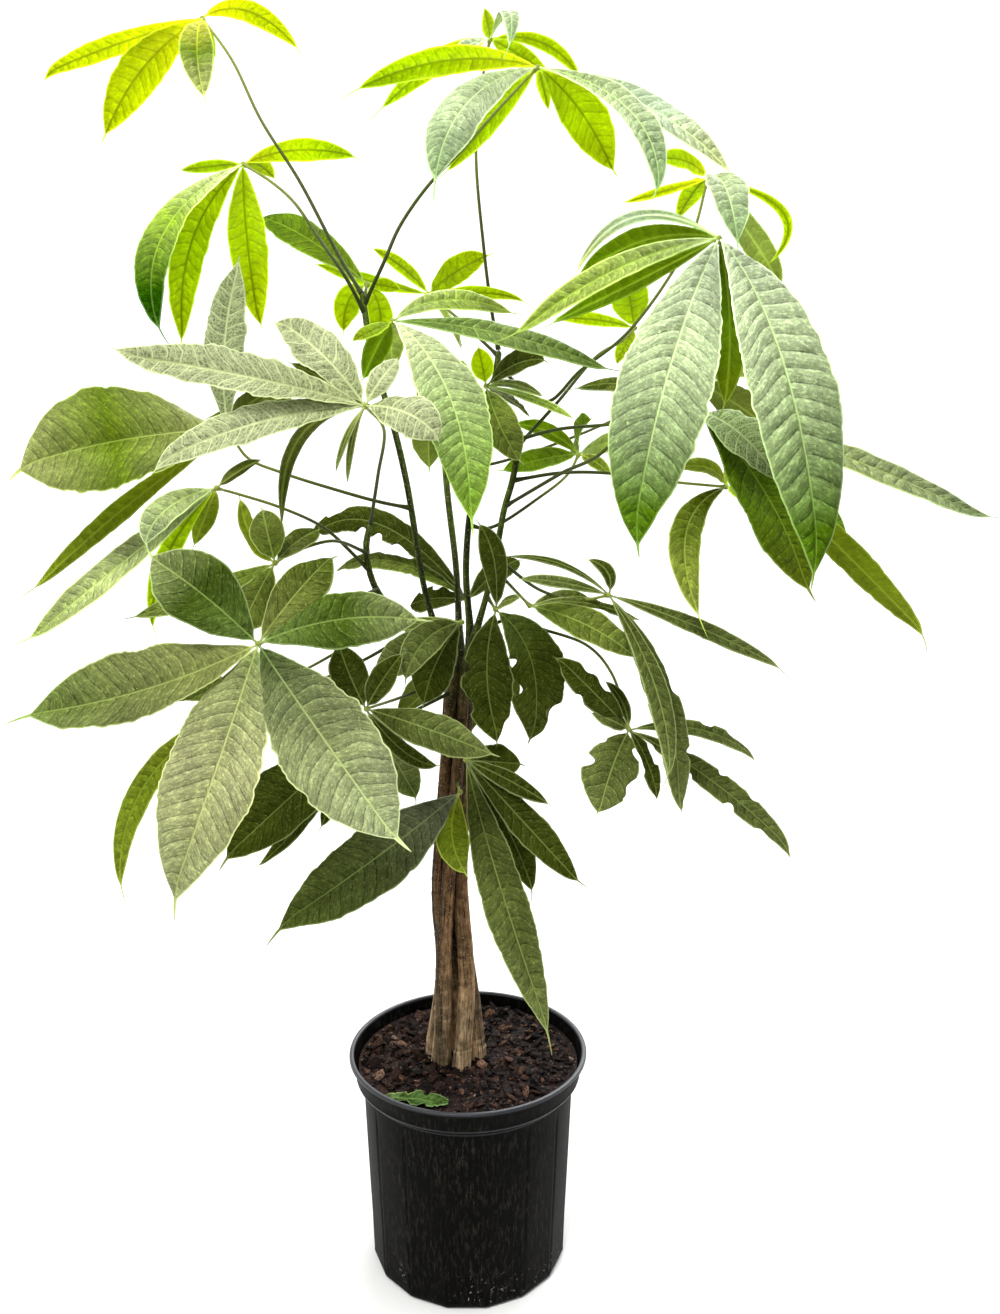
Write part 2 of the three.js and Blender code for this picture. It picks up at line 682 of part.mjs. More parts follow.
function stem(shoot, extra = 0) {
  const curve = stemCurve(shoot);
  const steps = 21;
  const radiusAt = (t) => {
    const height = curve.getPoint(t).z;
    if (height < trunk.splitHeight) return stemRadius(height) + extra;
    const over = Math.min(1, (height - trunk.splitHeight) / trunk.easing);
    return THREE.MathUtils.lerp(trunk.highRadius, shoot.radius, over) + extra;
  };
  return twig(curve, radiusAt, trunk.sides, steps);
}

// ---- leaves ----
function nearestOnStem(curve, at) {
  let [best, distance] = [null, Infinity];
  const samples = 400;
  for (let i = 0; i <= samples; i += 1) {
    const point = curve.getPoint(i / samples);
    const pixel = pixelOf(point);
    const d = Math.hypot(pixel[0] - at[0], pixel[1] - at[1]);
    if (d < distance) [best, distance] = [point, d];
  }
  return best;
}

function leaf(spec, stems, grown) {
  const hub = seen(...spec.hub);
  const root = nearestOnStem(stems[spec.on], spec.at);
  const legs = spec.petiole.length + 1;
  const way = spec.petiole.map(([u, v, y], i) => seen(u, v,
    y ?? THREE.MathUtils.lerp(root.y, hub.y, (i + 1) / legs)));
  const curve = new THREE.CatmullRomCurve3([root, ...way, hub], false, 'centripetal');
  const steps = Math.max(2, Math.round(curve.getLength() / petiole.step));
  const radiusAt = (t) => THREE.MathUtils.lerp(petiole.stemRadius, petiole.hubRadius, t);
  let solid = solidOf(twig(curve, radiusAt, petiole.sides, steps));
  const knob = new THREE.OctahedronGeometry(knobRadius, 0).translate(hub.x, hub.y, hub.z);
  solid = solid.add(solidOf(knob));
  for (const one of spec.blades) solid = solid.add(solidOf(blade(hub, spec.hub[2], one)));
  for (const body of Object.values(grown)) solid = solid.subtract(body);
  return geometryOf(largest(solid.simplify(slivers)));
}

// ---- pot ----
// The body is a polygon of flat panels at the foot that turns round towards the band.
function panelled(x, y, height) {
  const shade = THREE.MathUtils.clamp(1 - height / (pot.height - pot.skirtDepth), 0, 1);
  const step = 2 * Math.PI / pot.panels;
  const angle = Math.atan2(y, x) + Math.PI / 2;
  const off = angle - step * Math.round(angle / step);
  const flat = Math.cos(step / 2) / Math.cos(off);
  return 1 + shade * (flat - 1);
}

function potGeometry() {
  const { height, rimRadius, lipWidth, lipHeight, skirtRadius, skirtDepth, shoulderRadius } = pot;
  const { footRadius, neck, neckHeight } = pot;
  const bandFoot = height - skirtDepth;
  const inner = rimRadius - lipWidth;
  const profile = [
    [0, 0], [footRadius - pot.footChamfer, 0], [footRadius, pot.footChamfer],
    [(footRadius + shoulderRadius) / 2, bandFoot / 2], [shoulderRadius, bandFoot - neckHeight],
    [shoulderRadius + neck, bandFoot - 3], [skirtRadius - 1, bandFoot], [skirtRadius, bandFoot + 2],
    [rimRadius - 4, height - lipHeight], [rimRadius - 1, height - lipHeight + 1],
    [rimRadius, height - 2], [rimRadius - 1, height], [inner, height], [inner - 1, height - 3],
    [skirtRadius - pot.wall - 1, bandFoot + 3], [shoulderRadius - pot.wall, bandFoot - 4],
    [footRadius - pot.wall - 1, pot.floor], [0, pot.floor],
  ];
  const shape = profile.map(([r, z]) => new THREE.Vector2(r, z));
  const geometry = new THREE.LatheGeometry(shape, pot.sides).rotateX(Math.PI / 2);
  const place = geometry.attributes.position;
  for (let i = 0; i < place.count; i += 1) {
    const [x, y, z] = [place.getX(i), place.getY(i), place.getZ(i)];
    const k = panelled(x, y, z);
    place.setXYZ(i, x * k, y * k, z);
  }
  return geometryOf(solidOf(geometry));
}

// ---- soil ----
// Lumps of bark: a few crossing waves, which die out at the wall of the pot.
function crumbs(x, y) {
  const [a, b, c, d] = soil.waves;
  const coarse = Math.sin(x / a + 1) * Math.sin(y / b);
  const fine = Math.sin((x + y) / c) * Math.sin((x - y) / d + 2);
  return coarse + 0.6 * fine;
}

function soilGeometry(grown) {
  const bandFoot = pot.height - pot.skirtDepth;
  const wallAt = (z) => (z > bandFoot
    ? THREE.MathUtils.mapLinear(z, bandFoot + 3, pot.height - 3,
      pot.skirtRadius - pot.wall - 1, pot.rimRadius - pot.lipWidth - 1)
    : pot.shoulderRadius - pot.wall);
  const side = soil.clearance;
  const [topRadius, shoulder] = [wallAt(soil.level) - side, pot.shoulderRadius - pot.wall - side];
  const foot = (pot.footRadius - pot.wall) * Math.cos(Math.PI / pot.panels) - side;
  const profile = [[0, pot.floor + gap], [foot - 5, pot.floor + gap], [foot - 1, pot.footChamfer + 8],
    [shoulder - 1, bandFoot - 6], [topRadius, soil.level]];
  for (let i = 1; i <= soil.rings; i += 1) profile.push([topRadius * (1 - i / soil.rings), soil.level]);
  const shape = profile.map(([r, z]) => new THREE.Vector2(r, z));
  const geometry = new THREE.LatheGeometry(shape, pot.sides).rotateX(Math.PI / 2);
  const place = geometry.attributes.position;
  for (let i = 0; i < place.count; i += 1) {
    const [x, y, z] = [place.getX(i), place.getY(i), place.getZ(i)];
    const inward = 1 - Math.hypot(x, y) / topRadius;
    if (z > soil.level - 1 && inward > 0.01) {
      place.setZ(i, z + soil.mound * inward + soil.crumb * crumbs(x, y));
    }
  }
  let solid = solidOf(geometry);
  for (const body of Object.values(grown)) solid = solid.subtract(body);
  return geometryOf(largest(solid));
}

// A torn piece of leaf that lies on the soil at the front left.
function scrapGeometry() {
  const { from, to, across, arch } = scrap;
  const rise = soil.level + scrap.rise;
  const middle = new THREE.Vector3((from[0] + to[0]) / 2, (from[1] + to[1]) / 2 - 3, rise + arch);
  const curve = new THREE.QuadraticBezierCurve3(new THREE.Vector3(...from, rise), middle,
    new THREE.Vector3(...to, rise));
  const stations = [0, 0.2, 0.5, 0.8, 1];
  const rings = stations.map((t) => {
    const along = curve.getTangent(t);
    const side = new THREE.Vector3(0, 0, 1).cross(along).normalize();
    const up = along.clone().cross(side);
    const edge = Math.max(1, across / 2 * Math.sin(Math.PI * (0.12 + 0.8 * t)));
    const place = (x, z) => curve.getPoint(t).addScaledVector(side, x).addScaledVector(up, z);
    const half = leafThickness / 2;
    return [place(-edge, -half), place(edge, -half), place(edge, half), place(-edge, half)];
  });
  return skin(rings);
}

// ---- the group ----
const finish = {
  pot: { color: 0x1c1c1b, roughness: 0.6, metalness: 0 },
  soil: { color: 0x2a1e18, roughness: 0.95, metalness: 0 },
  bark: { color: 0x6b5138, roughness: 0.9, metalness: 0 },
  leaf: { color: 0x6f9a2a, roughness: 0.5, metalness: 0 },
};

const plant = new THREE.Group();

function addPiece(name, geometry, kind) {
  const mesh = new THREE.Mesh(geometry, new THREE.MeshStandardMaterial(finish[kind]));
  mesh.name = name;
  plant.add(mesh);
}

const stemCurves = {};
const grownStems = {};
for (const [name, shoot] of Object.entries(shoots)) {
  stemCurves[name] = stemCurve(shoot);
  grownStems[name] = solidOf(stem(shoot, gap));
  addPiece(name, geometryOf(solidOf(stem(shoot))), 'bark');
}
addPiece('pot', potGeometry(), 'pot');
addPiece('soil', soilGeometry(grownStems), 'soil');
addPiece('leaf_scrap', scrapGeometry(), 'leaf');
for (const [name, spec] of Object.entries(leaves)) addPiece(name, leaf(spec, stemCurves, grownStems), 'leaf');

export default plant;
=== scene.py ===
# Looks of a potted money tree (Pachira): twisted trunk of five slim stems in a black nursery pot.
# Metres, +Z up, the front faces -Y. Shapes are told in millimetres and photo pixels, as in the CAD source.
from functools import partial
import math
import bpy
from mathutils import Matrix
import numpy as np


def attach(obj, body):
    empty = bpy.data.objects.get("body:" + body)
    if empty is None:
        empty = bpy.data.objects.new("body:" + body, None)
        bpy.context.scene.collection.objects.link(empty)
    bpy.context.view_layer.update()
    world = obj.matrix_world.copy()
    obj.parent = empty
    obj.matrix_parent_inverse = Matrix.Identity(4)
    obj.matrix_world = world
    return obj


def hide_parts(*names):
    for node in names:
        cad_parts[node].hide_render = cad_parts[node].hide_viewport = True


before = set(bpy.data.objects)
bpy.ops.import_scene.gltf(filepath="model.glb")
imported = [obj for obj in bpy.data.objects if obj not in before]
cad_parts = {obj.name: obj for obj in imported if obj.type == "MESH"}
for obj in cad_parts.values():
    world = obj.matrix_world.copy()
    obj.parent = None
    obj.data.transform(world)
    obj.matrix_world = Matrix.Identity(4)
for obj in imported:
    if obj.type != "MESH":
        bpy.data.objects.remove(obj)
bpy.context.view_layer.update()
mm = 0.001

# The camera of the reference picture: its place, how far it looks down, and its lens and height in pixels.
view = {"place": (34.5, -1116.0, 871.0), "down": math.radians(10.4), "focal": 1117.0, "centre": (500.0, 657.0),
        "tall": 1314.0, "film": 36.0}


# The point (mm) on the line of sight through pixel (u, v), at y plus depth behind the trunk's plane.
def seen(u, v, y, depth=0):
    right = (u - view["centre"][0]) / view["focal"]
    up = (view["centre"][1] - v) / view["focal"]
    c, s = math.cos(view["down"]), math.sin(view["down"])
    line = np.array([right, c + up * s, -s + up * c])
    place = np.array(view["place"])
    return place + line * ((y + depth - place[1]) / line[1])


# The pixel of each point: its offset turned into the camera's right, depth and up, times focal over depth.
def pixelOf(points):
    d = points - np.array(view["place"])
    c, s = math.cos(view["down"]), math.sin(view["down"])
    scale = view["focal"] / (d[:, 1] * c - d[:, 2] * s)
    up = d[:, 1] * s + d[:, 2] * c
    return np.stack([view["centre"][0] + d[:, 0] * scale, view["centre"][1] - up * scale], axis=1)


# A smooth curve through the points: cubic pieces whose end slopes come from the points on both sides,
# weighed by the square root of their spacing.
def smoothCurve(points, t):
    points = np.asarray(points, float)
    count = len(points)
    full = np.vstack([2 * points[0] - points[1], points, 2 * points[-1] - points[-2]])
    place = np.clip(t, 0, 1) * (count - 1)
    index = np.minimum(place.astype(int), count - 2)
    w = (place - index)[:, None]
    p = [full[index + k] for k in range(4)]
    d = [np.linalg.norm(p[k + 1] - p[k], axis=1)[:, None] ** 0.5 for k in range(3)]
    m1 = ((p[1] - p[0]) / d[0] - (p[2] - p[0]) / (d[0] + d[1]) + (p[2] - p[1]) / d[1]) * d[1]
    m2 = ((p[2] - p[1]) / d[1] - (p[3] - p[1]) / (d[1] + d[2]) + (p[3] - p[2]) / d[2]) * d[1]
    return ((2 * w ** 3 - 3 * w ** 2 + 1) * p[1] + (w ** 3 - 2 * w ** 2 + w) * m1
            + (-2 * w ** 3 + 3 * w ** 2) * p[2] + (w ** 3 - w ** 2) * m2)


# A curve from a to c with one bend: (1-t)^2 a + 2t(1-t) b + t^2 c.
def bentCurve(a, b, c, t):
    t = t[:, None]
    return (1 - t) ** 2 * a + 2 * t * (1 - t) * b + t ** 2 * c


# Each vector divided by its length.
def unit(v):
    return v / np.maximum(np.linalg.norm(v, axis=-1, keepdims=True), 1e-12)


# Direction of travel at each point of a path.
def tangents(path):
    return unit(np.gradient(path, axis=0))


# Distance run along a path up to each point.
def runAlong(path):
    return np.concatenate([[0], np.cumsum(np.linalg.norm(np.diff(path, axis=0), axis=1))])


# 0 below low and 1 above high, with t^2 (3 - 2t) between them.
def smoothStep(low, high, x):
    t = np.clip((x - low) / (high - low), 0, 1)
    return t * t * (3 - 2 * t)


# Angles of the given number of steps round a circle.
def circle(sides):
    return 2 * math.pi * np.arange(sides) / sides


# Faces of a closed skin over rows of rings: quads between neighbouring rings, a fan to a pole at each end.
def skinFaces(rows, cols):
    i, j = np.meshgrid(np.arange(rows - 1), np.arange(cols), indexing="ij")
    k = (j + 1) % cols
    quads = np.stack([i * cols + j, (i + 1) * cols + j, (i + 1) * cols + k, i * cols + k], axis=-1)
    j, k = j[0], k[0]
    first, end = rows * cols, (rows - 1) * cols
    fans = np.concatenate([
        np.stack([np.full(cols, first), j, k], axis=1),
        np.stack([np.full(cols, first + 1), end + k, end + j], axis=1)])
    return quads.reshape(-1, 4), fans


# Values given on the rings, and for both poles the mean of the first and of the last ring.
def withPoles(values):
    flat = values.reshape(-1, values.shape[-1])
    return np.vstack([flat, values[0].mean(axis=0), values[-1].mean(axis=0)])


# A part of a piece: points in mm, faces, the material's number for each face, and attributes on the points.
# A thin blade's quads are cut into triangles alike on both faces, so that neither face shows through the other.
def skinPart(rings, material, blade=False, **attributes):
    rows, cols = rings.shape[:2]
    quads, fans = skinFaces(rows, cols)
    number = np.broadcast_to(material, len(quads) + len(fans))
    if blade:
        upper = np.tile(np.arange(cols) < cols // 2, rows - 1)[:, None]
        first = np.where(upper, quads[:, [0, 1, 2]], quads[:, [0, 1, 3]])
        second = np.where(upper, quads[:, [0, 2, 3]], quads[:, [1, 2, 3]])
        number = np.concatenate([number[:len(quads)], number[:len(quads)], number[len(quads):]])
        quads, fans = quads[:0], np.concatenate([first, second, fans])
    return {"points": withPoles(rings), "quads": quads, "fans": fans, "number": number,
            "attributes": {key: withPoles(value) for key, value in attributes.items()}}


# Puts parts together as one mesh object that stands for a node. All points and faces go in as whole arrays.
def makePiece(name, parts, materials, node, sharp=50):
    corners, totals, offset = [], [], 0
    for part in parts:
        corners += [(part["quads"] + offset).ravel(), (part["fans"] + offset).ravel()]
        totals += [np.full(len(part["quads"]), 4), np.full(len(part["fans"]), 3)]
        offset += len(part["points"])
    points = np.concatenate([part["points"] for part in parts]) * mm
    numbers = np.concatenate([part["number"] for part in parts])
    corners, totals = np.concatenate(corners), np.concatenate(totals)
    mesh = bpy.data.meshes.new(name)
    mesh.vertices.add(len(points))
    mesh.vertices.foreach_set("co", points.ravel())
    mesh.loops.add(len(corners))
    mesh.loops.foreach_set("vertex_index", corners.astype(np.int32))
    mesh.polygons.add(len(totals))
    starts = np.concatenate([[0], np.cumsum(totals)[:-1]])
    mesh.polygons.foreach_set("loop_start", starts.astype(np.int32))
    mesh.polygons.foreach_set("material_index", numbers.astype(np.int32))
    mesh.polygons.foreach_set("use_smooth", np.ones(len(totals), bool))
    for key in parts[0]["attributes"]:
        values = np.concatenate([part["attributes"][key] for part in parts])
        kind, field = ("FLOAT_COLOR", "color") if values.shape[1] == 4 else ("FLOAT_VECTOR", "vector")
        mesh.attributes.new(key, kind, "POINT").data.foreach_set(field, values.astype(np.float32).ravel())
    mesh.update(calc_edges=True)
    mesh.validate()
    mesh.set_sharp_from_angle(angle=math.radians(sharp))
    for material in materials:
        mesh.materials.append(material)
    piece = bpy.data.objects.new(name, mesh)
    bpy.context.scene.collection.objects.link(piece)
    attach(piece, "root")
    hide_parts(node)


# A colour written as sRGB hex, turned to linear light.
def linear(text):
    value = np.array([int(text[k:k + 2], 16) for k in (1, 3, 5)]) / 255
    return np.where(value <= 0.04045, value / 12.92, ((value + 0.055) / 1.055) ** 2.4)


# The same with a fourth number, for a node's input.
def rgba(text):
    return (*[float(c) for c in linear(text)], 1.0)


# A tone along a run from 0 to 1: straight between the named colours, evenly spread.
def toneAlong(colours, t):
    stops = np.stack([linear(c) for c in colours])
    where = np.linspace(0, 1, len(stops))
    tone = np.stack([np.interp(t, where, stops[:, k]) for k in range(3)], axis=-1)
    return np.concatenate([tone, np.ones(tone.shape[:-1] + (1,))], axis=-1)


cells = 64
lattice = np.random.default_rng(11).random((cells, cells))


# Soft random values from -1 to 1: a table of random numbers, read with smooth steps between its cells.
def softNoise(x, y):
    i, j = np.floor(x).astype(int), np.floor(y).astype(int)
    u, v = smoothStep(0, 1, x - i), smoothStep(0, 1, y - j)
    row = lambda b: lattice[i % cells, b % cells] * (1 - u) + lattice[(i + 1) % cells, b % cells] * u
    return 2 * (row(j) * (1 - v) + row(j + 1) * v) - 1


# Adds a node. Its inputs come in their order, or by name: a socket is linked, a value set, None left alone.
# Settings are the node's own fields. Gives the named output, or else the first one in use.
def addNode(tree, kind, *inputs, named=None, out=None, **settings):
    node = tree.nodes.new("ShaderNode" + kind)
    for key, value in settings.items():
        setattr(node, key, value)
    pairs = list(zip([socket for socket in node.inputs if socket.enabled], inputs))
    for socket, value in pairs + [(node.inputs[key], value) for key, value in (named or {}).items()]:
        if isinstance(value, bpy.types.NodeSocket):
            tree.links.new(value, socket)
        elif value is not None:
            socket.default_value = value
    return node.outputs[out] if out else next((socket for socket in node.outputs if socket.enabled), None)


# A new material with an empty tree, and the function above made ready for that tree.
def newMaterial(name):
    material = bpy.data.materials.new(name)
    material.use_nodes = True
    material.node_tree.nodes.clear()
    return material, partial(addNode, material.node_tree)


# Closes a material: the bump of a height, if there is one, under a surface of the given colour and shine.
def closeMaterial(add, colour, roughness, shine, height=None, strength=0.0, depth=0.0):
    bump = None if height is None else add("Bump", strength, depth, None, height)
    add("OutputMaterial", add("BsdfPrincipled", named={
        "Base Color": colour, "Roughness": roughness, "Specular IOR Level": shine, "Normal": bump}))


# Settings of nodes. A MapRange stretches a value from one range to another: from low, from high, to low, to
# high, where the last two are 0 and 1 if they aren't given.
soft, inColour, scaled = {"interpolation_type": "SMOOTHSTEP"}, {"data_type": "RGBA"}, {"operation": "SCALE"}
times, greater = {"operation": "MULTIPLY"}, {"operation": "MAXIMUM"}
# The three leaf materials, column by column: waxy upper sides; old, dry leaves near the middle, greyish between
# cream veins that stand out as a net; and undersides, duller and rougher, whose veins stand out a little.
leafKinds = {
    "name": ("waxyLeafUpperSide", "nettedPaleLeaf", "dullLeafUnderside"), "grooveShade": (0.42, 0.1, 0.16),
    "grooveShadeWidth": (0.08, 0.3, 0.2), "bulgeShade": (0.13, 0.06, 0.07), "veinWidth": (0.03, 0.09, 0.07),
    "veinPale": (0.0, 0.95, 0.35), "ribWidth": (0.9, 1.4, 1.3), "ribPale": (0.9, 0.95, 0.8),
    "ribGlow": ((0.12, 0.16, 0.05), (0.28, 0.3, 0.17), (0.08, 0.1, 0.02)), "rimHighlight": (0.95, 0.95, 0.5),
    "netDark": (0.18, 0.28, 0.14), "netPale": (0.0, 0.5, 0.0), "foldShade": (0.36, 0.36, 0.2),
    "wrinkle": (0.34, 0.55, 0.16), "crestHighlights": (0.34, 0.4, 0.0), "mottle": (0.24, 0.2, 0.14),
    "relief": (0.6, 0.6, 0.35), "roughness": (0.38, 0.5, 0.55), "specular": (0.32, 0.2, 0.15),
    "flecks": (0.6, 0.3, 0.0)}


# Leaf of a money tree: waxy, its tone from leafTone, with painted shade in grooves along the side veins and
# bulges painted lighter on the hub's side and darker on the tip's, fine wrinkles along the veins with painted
# shade in their folds and painted highlights on their crests, a pale midrib and a painted highlight along the
# margin. leafGrain holds the vein count so far and the distances from the midrib and the margin (mm);
# leafTone's fourth number is the share of light that the blade lets through. Dark leaves sit deep in the crown
# and shine less.
def leafMaterial(leaf):
    material, add = newMaterial(leaf["name"])
    tone, _, _, through = add("Attribute", attribute_name="leafTone").node.outputs
    grain = add("Attribute", attribute_name="leafGrain", out="Vector")
    veins, fromRib, fromRim = add("SeparateXYZ", grain).node.outputs
    green = add("SeparateXYZ", tone, out="Y")
    place = add("TexCoord", out="Object")
    # Distance to the nearest vein, in vein gaps, and how much a vein still counts towards the margin.
    away = add("Math", veins, 0.5, operation="PINGPONG")
    fade = add("MapRange", fromRim, 0.5, 6, 0.15, 1)
    # The tone is darkened in a narrow groove along each vein: painted shade.
    grooveShade = add("MapRange", away, 0, leaf["grooveShadeWidth"], leaf["grooveShade"], 0, **soft)
    # Lesser grooves half-way between two veins, broken up along their way, darkened as painted shade too.
    gappy = add("TexNoise", grain, 0.55, 2, 0.55)
    kept = add("MapRange", gappy, 0.46, 0.56, 0, leaf["grooveShade"] * 0.6, **soft)
    minor = add("MapRange", away, 0.5 - leaf["grooveShadeWidth"] * 0.7, 0.5, **soft)
    deep = add("Math", grooveShade, add("Math", minor, kept, **times), **greater)
    paintedGrooveShade = add("Math", deep, fade, **times)
    # Place between two veins, 0 on the hub's side and 1 on the tip's: the bulge is painted lighter on the first
    # and darker on the second, as painted light and shade.
    between = add("Math", veins, operation="FRACT")
    bulgeShade = add("MapRange", between, 0, 1, 1.0 + leaf["bulgeShade"], 1.0 - leaf["bulgeShade"])
    line = add("MapRange", away, 0, leaf["veinWidth"], leaf["veinPale"], 0, **soft)
    rib = add("MapRange", fromRib, leaf["ribWidth"] * 0.4, leaf["ribWidth"], leaf["ribPale"], 0, **soft)
    # A pale line along the margin: a painted highlight.
    rim = add("MapRange", fromRim, 0.4, 1.7, leaf["rimHighlight"], 0, **soft)
    # A fine net of small veins, about 3 mm wide.
    net = add("TexVoronoi", place, 300, feature="DISTANCE_TO_EDGE")
    dark = add("MapRange", net, 0, 0.22, 1.0 - leaf["netDark"], 1)
    ridge = add("MapRange", net, 0.03, 0.16, leaf["netPale"], 0, **soft)
    pale = add("Math", add("Math", line, rib, **greater), ridge, **greater)
    # Wrinkles that run with the veins, a fifth of a vein gap wide and a few millimetres long.
    wrinkle = add("TexNoise", add("Mapping", grain, None, None, (5, 0.22, 0)), 1, 6, 0.7)
    # The tone is made darker in the wrinkles' troughs and lighter on their tops, as painted shade and light;
    # the same noise gives their bump.
    crease = add("MapRange", wrinkle, 0.38, 0.62, 1.0 - leaf["wrinkle"], 1.0 + leaf["wrinkle"])
    # Crisp dark lines of painted shade where the wrinkles pass their middle height.
    middle = add("Math", wrinkle, 0.5, operation="PINGPONG")
    foldShade = add("MapRange", middle, 0.482, 0.5, 0, leaf["foldShade"], **soft)
    # Blotches of a few centimetres.
    blotch = add("TexNoise", place, 38, 4, 0.6)
    shade = add("MapRange", blotch, 0.3, 0.7, 1.0 - leaf["mottle"], 1.0 + leaf["mottle"])
    for factor in (dark, crease, bulgeShade):
        shade = add("Math", shade, factor, **times)
    # The painted shade of the grooves and the folds, taken off the tone.
    paintedCreaseShade = add("Math", paintedGrooveShade, foldShade, operation="ADD")
    base = add("VectorMath", tone, add("Math", shade, paintedCreaseShade, operation="SUBTRACT"), **scaled)
    # Ribs are paler than the blade, but on a blade that lets much light through they are painted dark, as
    # painted shade of the ribs against the light from behind.
    light = add("VectorMath", tone, (1.25, 1.25, 1.25), leaf["ribGlow"], operation="MULTIPLY_ADD")
    backlitRibShade = add("VectorMath", tone, 0.42, **scaled)
    backlitShare = add("MapRange", through, 0.5, 0.7, **soft)
    ribs = add("Mix", backlitShare, light, backlitRibShade, **inColour)
    veined = add("Mix", pale, base, ribs, **inColour)
    whiter = add("VectorMath", tone, (1.9, 1.9, 1.9), (0.15, 0.17, 0.1), operation="MULTIPLY_ADD")
    rimHighlit = add("Mix", rim, veined, whiter, **inColour)
    # Pale lines on the wrinkles' crests: painted highlights.
    crestHighlights = add("MapRange", wrinkle, 0.57, 0.68, 0, leaf["crestHighlights"], **soft)
    crestHighlit = add("Mix", crestHighlights, rimHighlit, whiter, **inColour)
    # Pale flecks of dust and dried drops, up to a millimetre wide.
    flecks = add("MapRange", add("TexNoise", place, 520, 1, 0.55), 0.69, 0.76, 0, leaf["flecks"], **soft)
    colour = add("Mix", flecks, crestHighlit, whiter, **inColour)
    bump = add("Bump", leaf["relief"], 0.0009, None, crease)
    shine = add("MapRange", green, 0.12, 0.45, 0, leaf["specular"])
    shiny = add("BsdfPrincipled", named={
        "Roughness": leaf["roughness"], "Base Color": colour, "Specular IOR Level": shine, "Normal": bump})
    glow = add("Mix", 0.7, colour, rgba("#F4FF5A"), blend_type="MULTIPLY", **inColour)
    # Light passes two faces of the thin blade, so each takes the root of the tone.
    clear = add("BsdfTranslucent", add("Gamma", glow, 0.5), bump)
    add("OutputMaterial", add("MixShader", through, shiny, clear))
    return material


leafUpper, leafNetted, leafUnder = [
    leafMaterial({key: values[k] for key, values in leafKinds.items()}) for k in range(3)]


# Green leaf stalk: smooth and matt, its tone from leafTone, with faint streaks.
def stalkMaterial():
    material, add = newMaterial("greenLeafStalk")
    tone = add("Attribute", attribute_name="leafTone")
    streak = add("TexNoise", add("TexCoord", out="Object"), 260, 2, 0.55)
    shade = add("MapRange", streak, 0.3, 0.7, 0.82, 1.14)
    closeMaterial(add, add("VectorMath", tone, shade, **scaled), 0.5, 0.1)
    return material


# Bark of the slim stems: tan-brown and dry, greener towards the young shoots, as its tone attribute says, which
# also holds painted shade in the stems' dents and painted light on their ridges. barkGrain is the place on the
# stem laid out straight (mm), so that streaks follow the stem.
def barkMaterial():
    material, add = newMaterial("dryStemBark")
    grain = add("Attribute", attribute_name="barkGrain", out="Vector")
    tone = add("Attribute", attribute_name="barkTone")
    # Streaks run along the stem: the grain is squeezed to a seventh along it, and more for the cracks.
    streak = add("TexNoise", add("Mapping", grain, None, None, (0.5, 0.5, 0.07)), 1, 5, 0.65)
    fissure = add("TexNoise", add("Mapping", grain, None, None, (0.75, 0.75, 0.045)), 0.6, 4, 0.6)
    patch = add("TexNoise", grain, 0.08, 5, 0.65)
    speck = add("TexNoise", grain, 0.7, 2, 0.5)
    light = add("MapRange", streak, 0.36, 0.64, 0.5, 1.45)
    shade = add("MapRange", patch, 0.36, 0.64, 0.55, 1.45)
    # Dark cracks where the finer streaks run low.
    crack = add("MapRange", fissure, 0.36, 0.43, 0.22, 1, **soft)
    both = add("Math", add("Math", light, shade, **times), crack, **times)
    base = add("VectorMath", tone, both, **scaled)
    spots = add("MapRange", speck, 0.64, 0.71, 0, 0.85, **soft)
    colour = add("Mix", spots, base, rgba("#B9A684"), **inColour)
    closeMaterial(add, colour, 0.78, 0.12, streak, 0.55, 0.0009)
    return material


# Potting soil and bark mulch: damp, dark and rough; each chip has its own tone in soilTone.
def soilMaterial():
    material, add = newMaterial("barkMulch")
    tone = add("Attribute", attribute_name="soilTone")
    place = add("TexCoord", out="Object")
    crumb = add("TexNoise", place, 420, 5, 0.7)
    base = add("VectorMath", tone, add("MapRange", crumb, 0.36, 0.66, 0.05, 2.3), **scaled)
    # Pale specks of perlite and dry bark, a millimetre or two wide.
    flecks = add("MapRange", add("TexNoise", place, 330, 1, 0.55), 0.69, 0.73, 0, 0.8, **soft)
    colour = add("Mix", flecks, base, rgba("#8A7768"), **inColour)
    closeMaterial(add, colour, 0.72, 0.12, crumb, 0.9, 0.0014)
    return material


